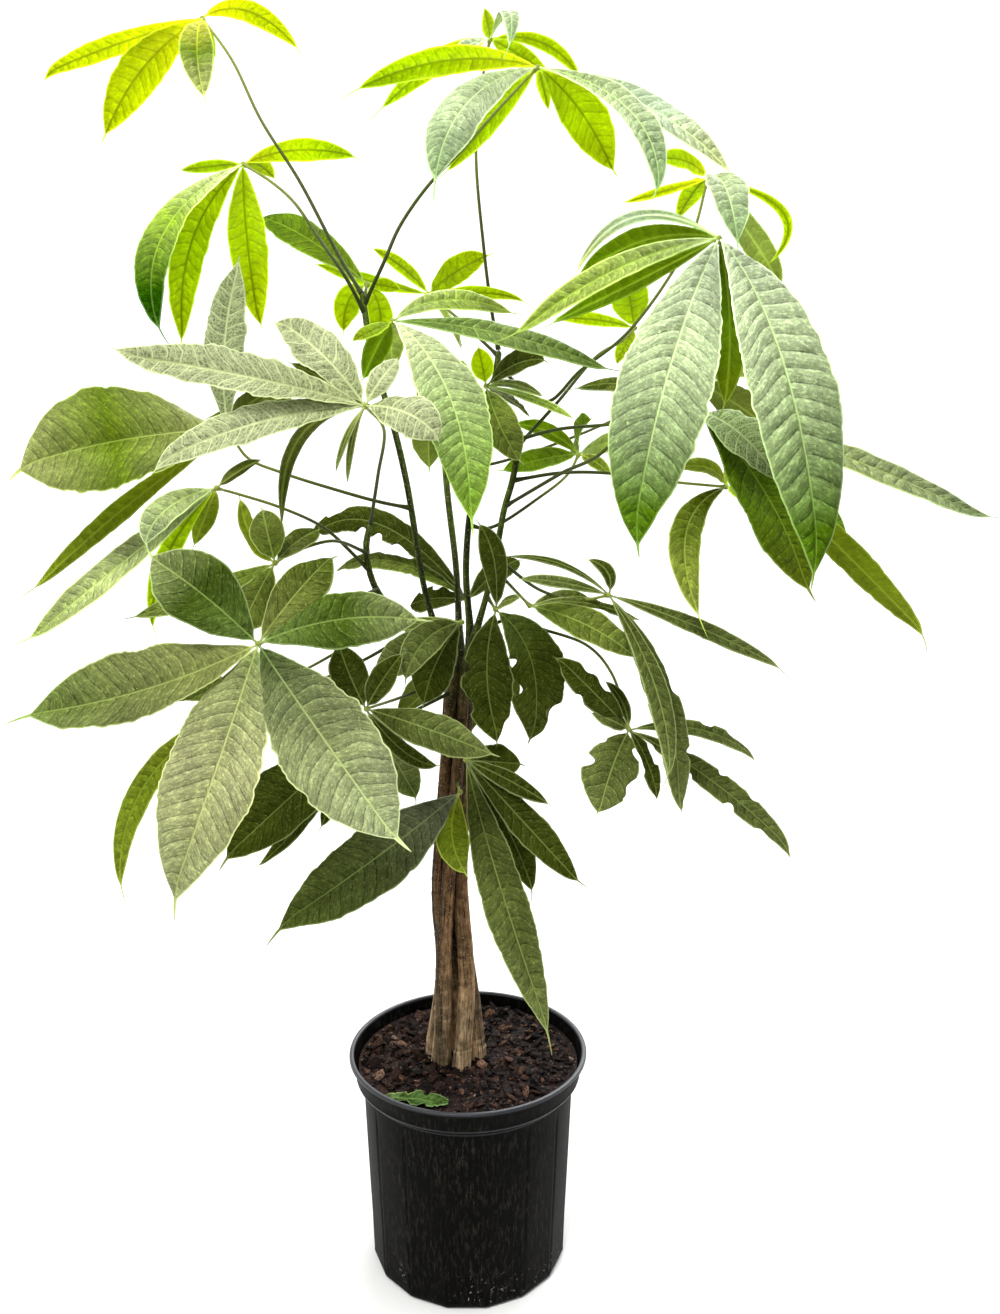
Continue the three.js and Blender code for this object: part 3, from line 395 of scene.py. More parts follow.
# Black blow-moulded plastic: dull, with greyish dust in upright smears, a fine grain, a few pale chips near the
# foot and a shinier lip and band ridge, painted paler and bluish there as a highlight. Heights are in metres.
def potMaterial():
    material, add = newMaterial("dustyBlackPlastic")
    place = add("TexCoord", out="Object")
    height = add("SeparateXYZ", place, out="Z")
    smear = add("TexNoise", add("Mapping", place, None, None, (1, 1, 0.22)), 330, 6, 0.75)
    cloud = add("TexNoise", place, 22, 4, 0.55)
    grit = add("TexNoise", place, 260, 3, 0.6)
    streaks = add("MapRange", smear, 0.5, 0.68)
    dust = add("Math", streaks, add("MapRange", cloud, 0.35, 0.7, 0.25, 1), **times)
    black = add("Mix", add("Math", dust, 0.7, **times), rgba("#050504"), rgba("#3D3A33"), **inColour)
    # The lip's top shines more and is painted paler as a highlight.
    shineAndHighlight = add("MapRange", height, 0.2338, 0.2355, **soft)
    # Painted highlight lines on the ridge under the band and, fainter, a few millimetres lower.
    for low, rise, fall, high, strength in ((0.2085, 0.2110, 0.2125, 0.2145, 0.5),
                                            (0.2030, 0.2045, 0.2045, 0.2060, 0.35)):
        under = add("MapRange", height, low, rise, 0, strength, **soft)
        over = add("MapRange", height, fall, high, 1, 0, **soft)
        shineAndHighlight = add("Math", shineAndHighlight, add("Math", under, over, **times), **greater)
    # Where marked, the black is painted a pale bluish grey: a painted highlight.
    highlightedColour = add("Mix", shineAndHighlight, black, rgba("#1D2128"), **inColour)
    # Chips are specks that come only low down, and only in some clouds.
    chips = add("MapRange", grit, 0.63, 0.68, **soft)
    chips = add("Math", chips, add("MapRange", height, 0.004, 0.045, 1, 0.02), **times)
    chips = add("Math", chips, add("MapRange", cloud, 0.5, 0.58, 0.1, 1), **times)
    colour = add("Mix", chips, highlightedColour, rgba("#A39C90"), **inColour)
    dull = add("MapRange", dust, 0, 1, 0.5, 0.75)
    rough = add("Math", dull, add("Math", shineAndHighlight, 0.2, **times), operation="SUBTRACT")
    gloss = add("MapRange", shineAndHighlight, 0, 1, 0.03, 0.5)
    closeMaterial(add, colour, rough, gloss, smear, 0.5, 0.0007)
    return material


stalkGreen, stemBark, mulch, potPlastic = stalkMaterial(), barkMaterial(), soilMaterial(), potMaterial()
print("materials are ready")

# Tones of a leaflet at its root, middle and tip, and the share of light that it lets through. Some tones hold
# painted light and shade: shaded is darker as painted shade for leaflets low in the crown, paleTip's dark root
# is painted shade near the hub, darkGloss's pale root is a painted gloss highlight, sage is pale partly as a
# painted sheen, the pale roots of glossGreen and quilted are partly painted sheen, and the bright yellow-green
# of the lime looks is partly a painted glow of the light from behind.
looks = {
    "lime": ("#FFFF1C", "#C7D604", "#B5C501", 0.8), "limeVeined": ("#FFFF08", "#779202", "#D9DE89", 0.3),
    "limeBright": ("#CAD11A", "#C0E002", "#8CAF03", 0.8), "limeDeep": ("#B7D00D", "#A4C602", "#9EB207", 0.75),
    "limeMid": ("#AAC20C", "#AAC701", "#A0B001", 0.75), "limeDull": ("#919A20", "#758716", "#88962C", 0.45),
    "mint": ("#A1B66B", "#BED09E", "#7CA060", 0.2), "mintPale": ("#ACC57D", "#D5E8CB", "#CACD80", 0.25),
    "quilted": ("#A6B491", "#C6D9A2", "#587C00", 0.12), "fresh": ("#9BAE69", "#B9D15D", "#819623", 0.3),
    "freshDark": ("#708A0A", "#789702", "#79A001", 0.45), "glossGreen": ("#D2DAA9", "#B3C882", "#91BA2F", 0.2),
    "darkGloss": ("#D8E2A0", "#9CBE24", "#2A5800", 0.15), "broad": ("#B5BC74", "#758F08", "#B6BC74", 0.3),
    "sage": ("#88945C", "#A6AF81", "#929B6D", 0.1), "sageDark": ("#748D5E", "#8AA061", "#3F5114", 0.1),
    "greyNet": ("#7C8A58", "#939F70", "#7C8A58", 0.1), "sheen": ("#62802A", "#80984A", "#4A6414", 0.15),
    "grey": ("#899B4A", "#B0C17A", "#8C9E6D", 0.12), "paleMoss": ("#63783B", "#C2D283", "#889B45", 0.12),
    "greyGreen": ("#8B934D", "#717A41", "#6F8537", 0.08), "straw": ("#7C8C48", "#B5B97C", "#9EA76B", 0.08),
    "paleTip": ("#35471C", "#949F66", "#CEDC9D", 0.08), "mossTip": ("#637A36", "#4A5E1C", "#94A260", 0.1),
    "moss": ("#728826", "#74832F", "#718133", 0.1), "olive": ("#747D3A", "#5C6728", "#455517", 0.1),
    "oliveVein": ("#778A39", "#465116", "#566025", 0.1), "shaded": ("#495121", "#657136", "#768243", 0.08),
    "hanging": ("#1F2602", "#74861C", "#B9C851", 0.2), "dark": ("#464E1C", "#434D18", "#454F13", 0.08),
    "darkOlive": ("#405304", "#6B8D00", "#717D01", 0.2), "darkGreen": ("#70755E", "#596435", "#62712A", 0.08)}

# Compound leaves. A first line gives the stem, the pixel where the stalk leaves it, the hub's pixel and depth y
# (mm), and pixels on the stalk's way, some with a depth. Then each leaflet: its look, "under" if its underside
# faces the front, its width (mm), its tip and, if known, the half-way point of its midrib, both as pixels with
# the depth from the hub. torn is the depth of bites in its margin, and tail the share that its drip tip takes.
leafPlan = {
    "leaf_top_left": """stem_left 362,294 202,18,60 340,258 300,182 261,120 232,60
lime under 20 36,78,40 112,46,20 tail=0.04
lime under 40 104,139,30 143,68,10
limeVeined 31 205,101,-75 197,52,-58
lime under 20 302,53,20 250,12,10
limeDeep under 26 200,84,130""",
    "leaf_upper_left": """stem_left 365,314 243,164,10 346,278,-46 320,240,-36 292,200 270,181
limeDeep under 12 178,171,20 212,166,10
darkGloss 33 162,338,-100 162,238,-75
limeDeep under 31 184,350,-30 191,244,-30
limeMid under 37 260,332,-10 247,240,-20 tail=0.04
limeBright under 21 360,158,30 300,150,20
limeMid under 20 276,180,90""",
    "leaf_top_centre": """stem_left 365,306 538,67,-20 384,262,-40 400,226 427,187 460,152 500,107
limeBright under 25 337,100,60 438,62,30 tail=0.11
mint 45 433,208,-120 462,110,-75 tail=0.12
limeDeep under 20 444,176,20 492,118,12
limeMid under 41 616,180,40 584,116,30 tail=0.07
mintPale 27 734,178,-30 652,110,-20
mint 27 657,208,-80 634,116,-60 tail=0.08
limeMid under 12 549,112,50""",
    "leaf_top_back": """stem_middle 499,352 490,39,60 491,306 484,250 476,147 484,70
limeBright under 21 364,126,20 432,66,20 tail=0.13
limeMid under 14 484,6,40
mint 18 509,52,-90 509,12,-60
limeMid under 14 583,83,20 545,44,10
limeMid under 20 552,78,70
mint 15 454,58,-50 470,45,-35""",
    "leaf_right_top": """stem_middle 497,366 708,178,-60 545,402,26 580,371,10 630,330 690,240
lime under 9 620,204,60 665,191,30
limeBright under 20 652,162,90 682,160,40
limeMid under 20 676,222,80
mint 34 738,248,-80 726,190,-55
limeMid under 9 765,268,0 784,214,-5
fresh under 26 782,290,70 756,244,40""",
    "leaf_big_right": """stem_right 506,506 719,238,-250 560,474 608,447 672,340
quilted 70 631,549,-50 668,375,-45
quilted 61 820,580,-50 786,372,-50
darkOlive under 28 724,412,70 730,325,40
mintPale under 10 572,280,60 632,218,40
freshDark under 24 572,286,90 640,242,60
fresh 20 508,342,-40 612,272,-30
freshDark under 15 545,326,25 632,284,15""",
    "leaf_right_mid": """stem_right 520,440 700,412,-130 560,429 604,425 655,419
sageDark 38 777,480,-30 742,436,-30
darkOlive 60 808,596,-30 768,498,-25
grey 26 1002,529,30 862,464,10 tail=0.05
limeDull under 27 931,641,40 838,546,25
freshDark 38 852,552,80 790,475,40
olive 22 571,390,70 636,386,35""",
    "leaf_right_back": """stem_right 519,446 635,328,130 556,404 597,356 622,341
limeDeep under 42 626,262,50 630,298,20
limeMid under 15 552,318,40
limeMid 18 616,366,-20
fresh under 44 722,300,60 680,318,30
fresh 44 708,392,40 675,352,20""",
    "leaf_mid_right": """stem_middle 469,526 579,454,50 489,528 540,497 568,474
freshDark under 36 592,419,70
freshDark under 18 512,424,20 548,432,10
freshDark 26 500,472,-20 540,460,-15
limeDull 15 612,476,-30
fresh under 26 640,440,60""",
    "leaf_small_right": """stem_right 513,480 727,487,-50 560,473 606,473 674,482
limeDull 19 674,470,-10 706,468,-10
hanging 29 702,624,-70 686,534,-55
limeMid 15 750,502,-30
limeMid 30 800,508,60 765,490,30
limeMid under 30 760,440,110""",
    "leaf_centre_top": """stem_left 368,344 393,321,-100 378,334
glossGreen 54 470,537,-90 452,403,-80 tail=0.06
sheen 25 615,374,10 508,336,-10
fresh 22 517,316,60 450,300,30
limeMid under 16 530,303,110 462,294,60
limeMid 17 351,342,-30 372,331,-15
freshDark under 22 362,382,20 378,346,5
fresh 26 394,372,90""",
    "leaf_centre": """stem_side 371,524 365,406,-200 378,475 384,430
sage 38 112,355,-30 240,376,-15
sage 33 150,467,-40 255,424,-20
sage 38 276,320,20 322,355,10
sage 20 399,359,20
sage 36 440,440,-35 408,414,-25
olive under 19 288,362,60 328,382,30
olive under 14 302,401,60
olive 6 335,475,-10 347,437,-15
olive 7 347,487,20 353,440,10
olive under 12 283,535,40 297,442,30""",
    "leaf_big_left": """stem_left 409,510 228,430,-90 380,502 340,491 280,472 248,458
broad 98 14,469,-50 118,441,-40
limeDull under 20 28,596,10 122,510,5
greyNet 40 241,260,-10 225,345,0
olive under 22 272,391,70""",
    "leaf_left": """stem_side 370,570 216,488,-110 355,556,2 327,530,-12 282,508 238,494
grey 28 145,548,-60 166,510,-40
paleMoss 30 24,645,-30 112,572,-10
limeDeep under 20 152,633,40 165,560,25
limeDull under 20 193,548,50
olive under 13 263,459,20 238,472,10""",
    "leaf_front_left": """stem_side 378,588 258,644,-250 345,604 300,628
greyGreen 66 6,717,-10 138,692,-15 tail=0.09
straw 79 165,917,-60 217,768,-45 tail=0.065
paleTip 76 407,855,-50 328,745,-45 tail=0.075
mossTip 49 433,623,20 345,619,0 tail=0.09
olive 42 333,556,40 298,592,15
mossTip 58 148,556,10 202,594,0""",
    "leaf_behind_left": """stem_side 366,552 275,563,-130 330,541,-64 296,551
moss 32 262,508,20
limeDull under 22 240,496,60 250,534,30
moss 24 128,619,30 206,594,20
moss 42 240,634,0 255,600,0
olive 24 320,530,60""",
    "leaf_low_left": """stem_side 413,632 268,696,-130 360,662 300,688
limeDull 26 121,898,10 150,778,15
olive 42 222,800,60 240,745,30
olive 30 190,700,80""",
    "leaf_low_dark": """stem_left 447,690 354,740,-90 400,718
dark 68 222,861,-20 292,796,-20
dark 20 254,870,40 308,815,20
dark 22 320,830,20 338,786,10
dark 30 300,740,80""",
    "leaf_low_centre": """stem_left 447,676 366,709,-100 410,694,-20
shaded 40 495,756,-20 430,730,-30
dark 26 404,652,0
dark 36 338,642,10 350,676,5
dark 18 440,766,30 404,752,20
greyGreen 38 418,800,45 396,762,40""",
    "leaf_knot_left": """stem_left 446,640 462,622,-50
shaded 32 405,683,-50 424,642,-35
moss 12 380,633,-10 420,623,-10
dark 44 424,706,10 436,664,0
shaded 40 372,676,20 412,650,10""",
    "leaf_curled": """stem_rear 458,590 468,600,60
dark 34 307,541,30 378,524,20 torn=0.9
moss 24 335,572,60 395,562,30 torn=0.9
dark 32 410,606,70 torn=0.7
dark 30 520,560,110""",
    "leaf_knot_right": """stem_right 486,596 496,610,-30
dark 50 500,742,-20 487,676,-30 torn=0.5
oliveVein 62 532,742,20 532,664,5 torn=0.9
dark 26 478,522,10 494,560,5
moss 17 521,598,-40""",
    "leaf_right_low": """stem_right 496,556 609,595,-70 540,590 580,600
dark 8 503,557,20 560,564,10
shaded 13 517,579,-10 562,583,-10
dark 14 586,559,20 607,572,5
shaded 17 786,671,-20 702,629,-20
shaded 22 669,783,-75 656,690,-60
shaded 32 677,814,-45 665,706,-38 torn=0.5""",
    "leaf_right_low_small": """stem_right 493,568 530,606,-50
olive 12 641,622,0 585,603,-5 torn=0.6
moss 34 638,660,-40 588,626,-30
olive 18 590,598,60""",
    "leaf_right_lower": """stem_right 472,640 629,730,-60 505,620,-6 545,630,-6 588,646,-18 612,674,-36
shaded 17 757,760,-10 700,730,-10 torn=0.8
shaded 25 797,856,-40 716,784,-25 torn=0.8
shaded 54 599,814,-50 612,768,-35 torn=0.9
dark 20 658,800,20 646,760,10 torn=0.7
dark 30 556,656,-14 594,693,-8 torn=0.7
shaded 18 590,713,-10
dark 12 604,680,20 622,702,10""",
    "leaf_lower_front": """stem_right 462,742 466,760,-60
dark 34 523,764,30 494,762,15
dark 20 552,806,-10 508,780,-10
dark 33 582,886,-10 527,826,-15
dark 34 534,895,20 508,830,5
shaded 44 552,1040,-20 502,892,-30""",
    "leaf_lower_left": """stem_right 457,782 460,792,-70
darkGreen 67 271,931,-60 376,858,-45
limeDull 32 468,876,-30 452,836,-25""",
    "leaf_centre_right": """stem_middle 493,390 486,386,0
fresh 10 576,420,0 536,400,0
moss 13 545,398,20 516,385,10
olive 22 531,418,60 512,402,30
moss 36 521,464,-36 500,426,-28
dark 28 547,361,-30 518,364,-20
limeMid under 22 478,346,0""",
    "leaf_rear_lime": """stem_middle 498,356 429,294,140 462,322
limeDeep under 15 312,262,20 366,280,10
limeMid under 16 370,247,40 403,268,20
limeMid under 33 491,254,40 456,272,20
fresh 40 462,350,90 446,320,50""",
    "leaf_fork": """stem_left 363,304 367,284,-6
limeMid under 26 344,334,20 348,302,10
limeMid under 26 376,346,50 380,312,30
limeMid under 14 402,290,20
freshDark 36 258,217,70 306,238,40""",
    "leaf_rear_high": """stem_rear 442,424 440,400,240
fresh under 40 412,348,60 424,370,30
fresh under 44 470,372,110
moss under 46 430,470,60 430,430,50
fresh under 40 470,480,0 462,436,10
moss under 50 430,410,150""",
    "leaf_rear_left": """stem_rear 443,440 300,385,160 420,428 360,402
moss under 36 190,362,60 246,368,30
fresh under 38 334,346,80
moss under 34 190,430,40 250,412,20
moss under 40 330,400,120
fresh under 44 250,384,130""",
    "leaf_rear_right": """stem_rear 445,470 690,380,215 500,462 600,426
fresh under 44 646,480,20 664,432,20
moss under 46 690,300,60
fresh under 44 800,360,40 745,362,30
moss under 44 790,450,60 742,408,50
fresh under 50 700,370,150""",
    "leaf_rear_low": """stem_rear 457,600 466,660,190 460,622
olive under 44 396,720,40 430,688,30
moss under 40 420,640,90
olive under 46 520,700,50 494,676,30
olive under 50 462,740,70 464,700,50
moss under 44 490,650,140""",
    "leaf_rear_low_left": """stem_side 404,624 250,690,90 360,640 300,672
olive under 38 140,700,60 196,688,30
olive under 42 200,790,40 222,744,30
moss under 40 310,690,90
olive under 48 240,740,140""",
}

# Stems (mm). Foot, soil, mid and split are heights; low, thin and high the radii at the last three; twist is in
# degrees a millimetre; scars and knots are how many there are, and wave to knot are shares of the radius.
trunk = {"foot": 161.0, "soil": 221.0, "mid": 440.0, "split": 655.0, "twist": 0.18, "low": 9.0, "thin": 6.7,
         "high": 5.4, "spread": 1.84, "flare": 3.0, "easing": 70.0,
         "axis": [(-13, 0, 160), (-13, 0, 222), (-19, 0, 438), (-13, 0, 560), (-5, 0, 670)],
         "levels": 13, "sides": 32, "rows": 420, "scars": 16, "knots": 26, "swell": 1.07, "footSwell": 0.1,
         "wave": 0.07, "lump": 0.035, "ridge": 0.014, "scar": 0.05, "pinch": 0.055, "knot": (-0.09, 0.11),
         "ageHeights": [221, 330, 440, 600, 700, 800], "ages": [0.0, 0.2, 0.4, 0.6, 0.85, 1.0],
         "tones": ("#BCA27E", "#765C40", "#523B25", "#473521", "#323B14", "#3C4A16")}
# For each stem: its angle round the trunk, its radius above it, its seed, how far its foot strays at the soil
# and how far it sways half-way up the trunk's lower half (mm), and pixels with a depth on its shoot.
shoots = {
    "stem_left": {"angle": -126, "radius": 2.9, "seed": 1, "stray": (-5.0, -1.0), "sway": (7.0, 2.0), "path": [
        (437, 630, -14), (425, 590, -17), (407, 485, -24), (394, 429, -30), (371, 350, -32), (362, 292, -30)]},
    "stem_middle": {"angle": 18, "radius": 3.2, "seed": 2, "stray": (-4.5, -2.5), "sway": (3.5, -1.0), "path": [
        (470, 630, 8), (466, 570, 14), (472, 500, 22), (485, 457, 28), (493, 392, 32), (499, 350, 36)]},
    "stem_right": {"angle": -54, "radius": 3.1, "seed": 3, "stray": (-3.5, 3.5), "sway": (-2.5, -1.0), "path": [
        (476, 632, -10), (488, 590, -10), (498, 544, -10), (504, 511, -10), (513, 479, -10), (520, 437, -6)]},
    "stem_side": {"angle": 162, "radius": 3.3, "seed": 4, "stray": (0.0, 0.0), "sway": (2.0, -5.0), "path": [
        (437, 655, 6), (402, 622, 10), (374, 585, 8), (366, 546, 6), (371, 522, 6)]},
    "stem_rear": {"angle": 90, "radius": 3.2, "seed": 5, "stray": (4.0, -1.5), "sway": (-2.0, 1.0), "path": [
        (459, 630, 22), (456, 570, 52), (447, 490, 100), (442, 420, 130)]},
}


# Radius of a trunk stem at each height: straight lines between its soil, middle and top radius.
def stemRadius(height):
    return np.interp(height, [trunk["soil"], trunk["mid"], trunk["split"]],
                     [trunk["low"], trunk["thin"], trunk["high"]])


# Place of a stem in the trunk: round the trunk's axis on a ring that is a multiple of the stem's radius,
# wider at the feet, and turned in step with the height.
def trunkPoints(angle, height):
    low, high = trunk["axis"][0][2], trunk["axis"][-1][2]
    axis = smoothCurve(trunk["axis"], (height - low) / (high - low))
    turn = np.radians(angle - trunk["twist"] * (trunk["split"] - height))
    foot = np.clip(1 - (height - trunk["soil"]) / (trunk["mid"] - trunk["soil"]), 0, 1)
    ring = trunk["spread"] * stemRadius(height) + trunk["flare"] * foot
    return np.stack([axis[:, 0] + ring * np.cos(turn), axis[:, 1] + ring * np.sin(turn), height], axis=1)


# A smooth curve up through the trunk and on through the shoot's pixels.
def stemPath(shoot, t):
    heights = np.linspace(trunk["foot"], trunk["split"], trunk["levels"] + 1)
    return smoothCurve([*trunkPoints(shoot["angle"], heights), *[seen(*p) for p in shoot["path"]]], t)


# A round tube: each ring is centre + radius * (side * cos a + over * sin a); radius may vary round the ring.
# The two directions square to the path are kept from spinning by a fixed reference across it.
def tubeRings(path, radius, sides, reference):
    along, reference, a = tangents(path), np.asarray(reference), circle(sides)
    side = unit(reference - (along @ reference)[:, None] * along)
    over = np.cross(along, side)
    wheel = side[:, None] * np.cos(a)[:, None] + over[:, None] * np.sin(a)[:, None]
    return path[:, None] + wheel * np.broadcast_to(radius, (len(path), sides))[..., None]


# A trunk stem with bark relief: its radius is swollen and pinched by slow waves, ridged by scars right round,
# dented by knots, and roughened by streaks that follow the stem.
def stemPiece(name, shoot):
    rng = np.random.default_rng(shoot["seed"])
    rows, sides, soilTop, mid, split = [trunk[key] for key in ("rows", "sides", "soil", "mid", "split")]
    path = stemPath(shoot, np.linspace(0, 1, rows))
    height = path[:, 2]
    path[:, :2] += (1 - smoothStep(soilTop, mid, height))[:, None] * np.array(shoot["stray"])
    bow = np.sin(math.pi * np.clip((height - soilTop) / (mid - soilTop), 0, 1)) ** 2
    path[:, :2] += bow[:, None] * np.array(shoot["sway"])
    run = runAlong(path)
    s = run[:, None]
    easing = smoothStep(split, split + trunk["easing"], height)
    plain = np.where(height < split, stemRadius(height),
                     trunk["high"] + (shoot["radius"] - trunk["high"]) * easing)
    a = circle(sides)
    relief = np.zeros((rows, sides))
    for k in range(1, 4):
        relief += trunk["wave"] / k * np.sin(k * a + s * rng.uniform(0.006, 0.02) + rng.uniform(0, 6))
    relief += trunk["lump"] * softNoise(s / 26 + shoot["seed"] * 9, 3.3)
    ridges = sum(np.sin(k * a + 1.6 * softNoise(s / 40, k * 1.7) + k) for k in (5, 7, 9))
    relief += trunk["ridge"] * ridges * (1 - 0.7 * smoothStep(600, 760, height)[:, None])
    for place in np.sort(rng.uniform(40, run[-1] - 10, trunk["scars"])):
        off = s - place + 1.5 * np.cos(a + rng.uniform(0, 6))
        relief += trunk["scar"] * np.exp(-(off / 1.6) ** 2) - trunk["pinch"] * np.exp(-((off - 2.6) / 1.4) ** 2)
    for _ in range(trunk["knots"]):
        place, angle, deep = rng.uniform(45, 460), rng.uniform(0, 2 * math.pi), rng.uniform(*trunk["knot"])
        off = np.angle(np.exp(1j * (a - angle)))
        relief += deep * np.exp(-((s - place) / 3.2) ** 2 - (off / 0.36) ** 2)
    end = np.sqrt(np.clip((run[-1] - run) / plain, 0, 1))
    fatter = 1 + (trunk["swell"] - 1) * (1 - smoothStep(mid, split, height))
    fatter += trunk["footSwell"] * (1 - smoothStep(soilTop, soilTop + 50, height))
    radius = (plain * fatter)[:, None] * (1 + relief) * np.clip(end, 0.05, 1)[:, None]
    rings = tubeRings(path, radius, sides, (0.0, 1.0, 0.0))
    straight = np.stack(np.broadcast_arrays(
        plain[:, None] * np.cos(a) + shoot["seed"] * 40, plain[:, None] * np.sin(a), s), axis=-1)
    tone = toneAlong(trunk["tones"], np.interp(height, trunk["ageHeights"], trunk["ages"]))
    tone = np.repeat(tone[:, None], sides, axis=1)
    # The tone is darker where the relief sinks and paler where it stands out: painted shade and light.
    tone[..., :3] *= np.clip(1 + 6.5 * relief, 0.35, 1.5)[..., None]
    part = skinPart(rings, 0, barkGrain=straight, barkTone=tone)
    makePiece(name.replace("_", "-") + "-bark", [part], [stemBark], name)


stemSamples = {name: stemPath(shoot, np.linspace(0, 1, 401)) for name, shoot in shoots.items()}
for name, shoot in shoots.items():
    stemPiece(name, shoot)
print("stems are built")

# Which way a leaflet faces, and the stalks (mm).
facing = {"top": (0.0, -0.8, 0.6), "under": (0.0, 0.85, 0.5)}
stalk = {"root": 1.8, "hub": 1.25, "rootSwell": 0.9, "hubSwell": 1.5, "sides": 12, "step": 3.5, "min": 20,
         "tones": ("#2E3612", "#46521A", "#8E9A42")}
# Leaflets. broad is the width from which a blade has a slimmer foot, fine and middling those for a finer mesh;
# neck, thick, thin, the ribs, the grains and veinGap are in mm, roll and twist in degrees, the rest are shares.
blade = {
    "arch": 0.16, "neck": 6.5, "neckHalf": 0.9, "tailHalf": 0.055, "tail": 0.1, "broadTail": 0.07,
    "bluntTail": 0.035, "runOn": 0.6, "broad": 40, "fine": 48, "middling": 24, "fold": 0.46, "droop": 0.33,
    "wave": 0.05, "ruffle": 0.1, "ruffleGrain": 24, "ragged": 0.045, "tearGrain": 12, "roll": 9.0,
    "twist": 16.0, "thick": 0.42, "thin": 0.16, "ribThick": 1.1, "quilt": 0.16, "pucker": 0.2,
    "puckerGrain": 5.5, "veinGap": 11.0, "veinLean": 0.62, "curl": 0.05, "halves": 0.1, "brightness": 0.95,
    "seed": 5,
}
# Looks whose bulges stand higher or lower than usual, looks of old leaves with a net of pale veins, and looks
# whose tip tone comes early, with how many times sooner.
bulging = {"quilted": 1.5, "fresh": 1.2, "glossGreen": 1.2, "mint": 1.2, "broad": 0.6, "straw": 0.7,
           "paleTip": 0.7, "greyGreen": 0.7, "mossTip": 0.7, "olive": 0.8, "dark": 0.8, "shaded": 0.8}
netted = ("sage", "sageDark", "greyNet")
early = {"quilted": 1.15, "glossGreen": 1.15, "darkGloss": 1.35}


# Half of a leaflet's width along it, as a share of the widest: t (1-t)^0.8 made 1 at its top, joined
# smoothly to a narrow drip tip that runs out to nothing. A broad leaflet is slimmer towards its foot.
def outlineShare(t, broad, tip):
    first, last = (1.18, 0.9) if broad else (1.0, 0.8)
    s = np.clip(t / (1 - tip), 0, 1)
    top = first / (first + last)
    body = s ** first * (1 - s) ** last / (top ** first * (1 - top) ** last)
    tail = blade["tailHalf"] * smoothStep(0.5, 0.9, t) * np.clip((1 - t) / max(0.08, 1.3 * tip), 0, 1) ** 0.6
    return (body ** 2 + tail ** 2) ** 0.5


# The midrib: a curve with one bend, through the half-way point when it is given, else arched upwards.
def midrib(hub, tip, via, face, t):
    middle = (hub + tip) / 2
    if via is not None:
        return bentCurve(hub, 2 * via - middle, tip, t)
    chord = unit(tip - hub)
    over = unit(face - (face @ chord) * chord)
    return bentCurve(hub, middle + over * blade["arch"] * np.linalg.norm(tip - hub), tip, t)


# A thin skin from its upper and lower points, left to right, with leafGrain and leafTone alike on both sides.
# mirrored turns its faces round, for a side vector that runs the other way.
def leafSkin(top, bottom, grain, tone, number, mirrored=False):
    pair = lambda one, two: np.concatenate([one[:, ::-1], two] if mirrored else [one, two[:, ::-1]], axis=1)
    return skinPart(pair(top, bottom), number, True, leafTone=pair(tone, tone), leafGrain=pair(grain, grain))


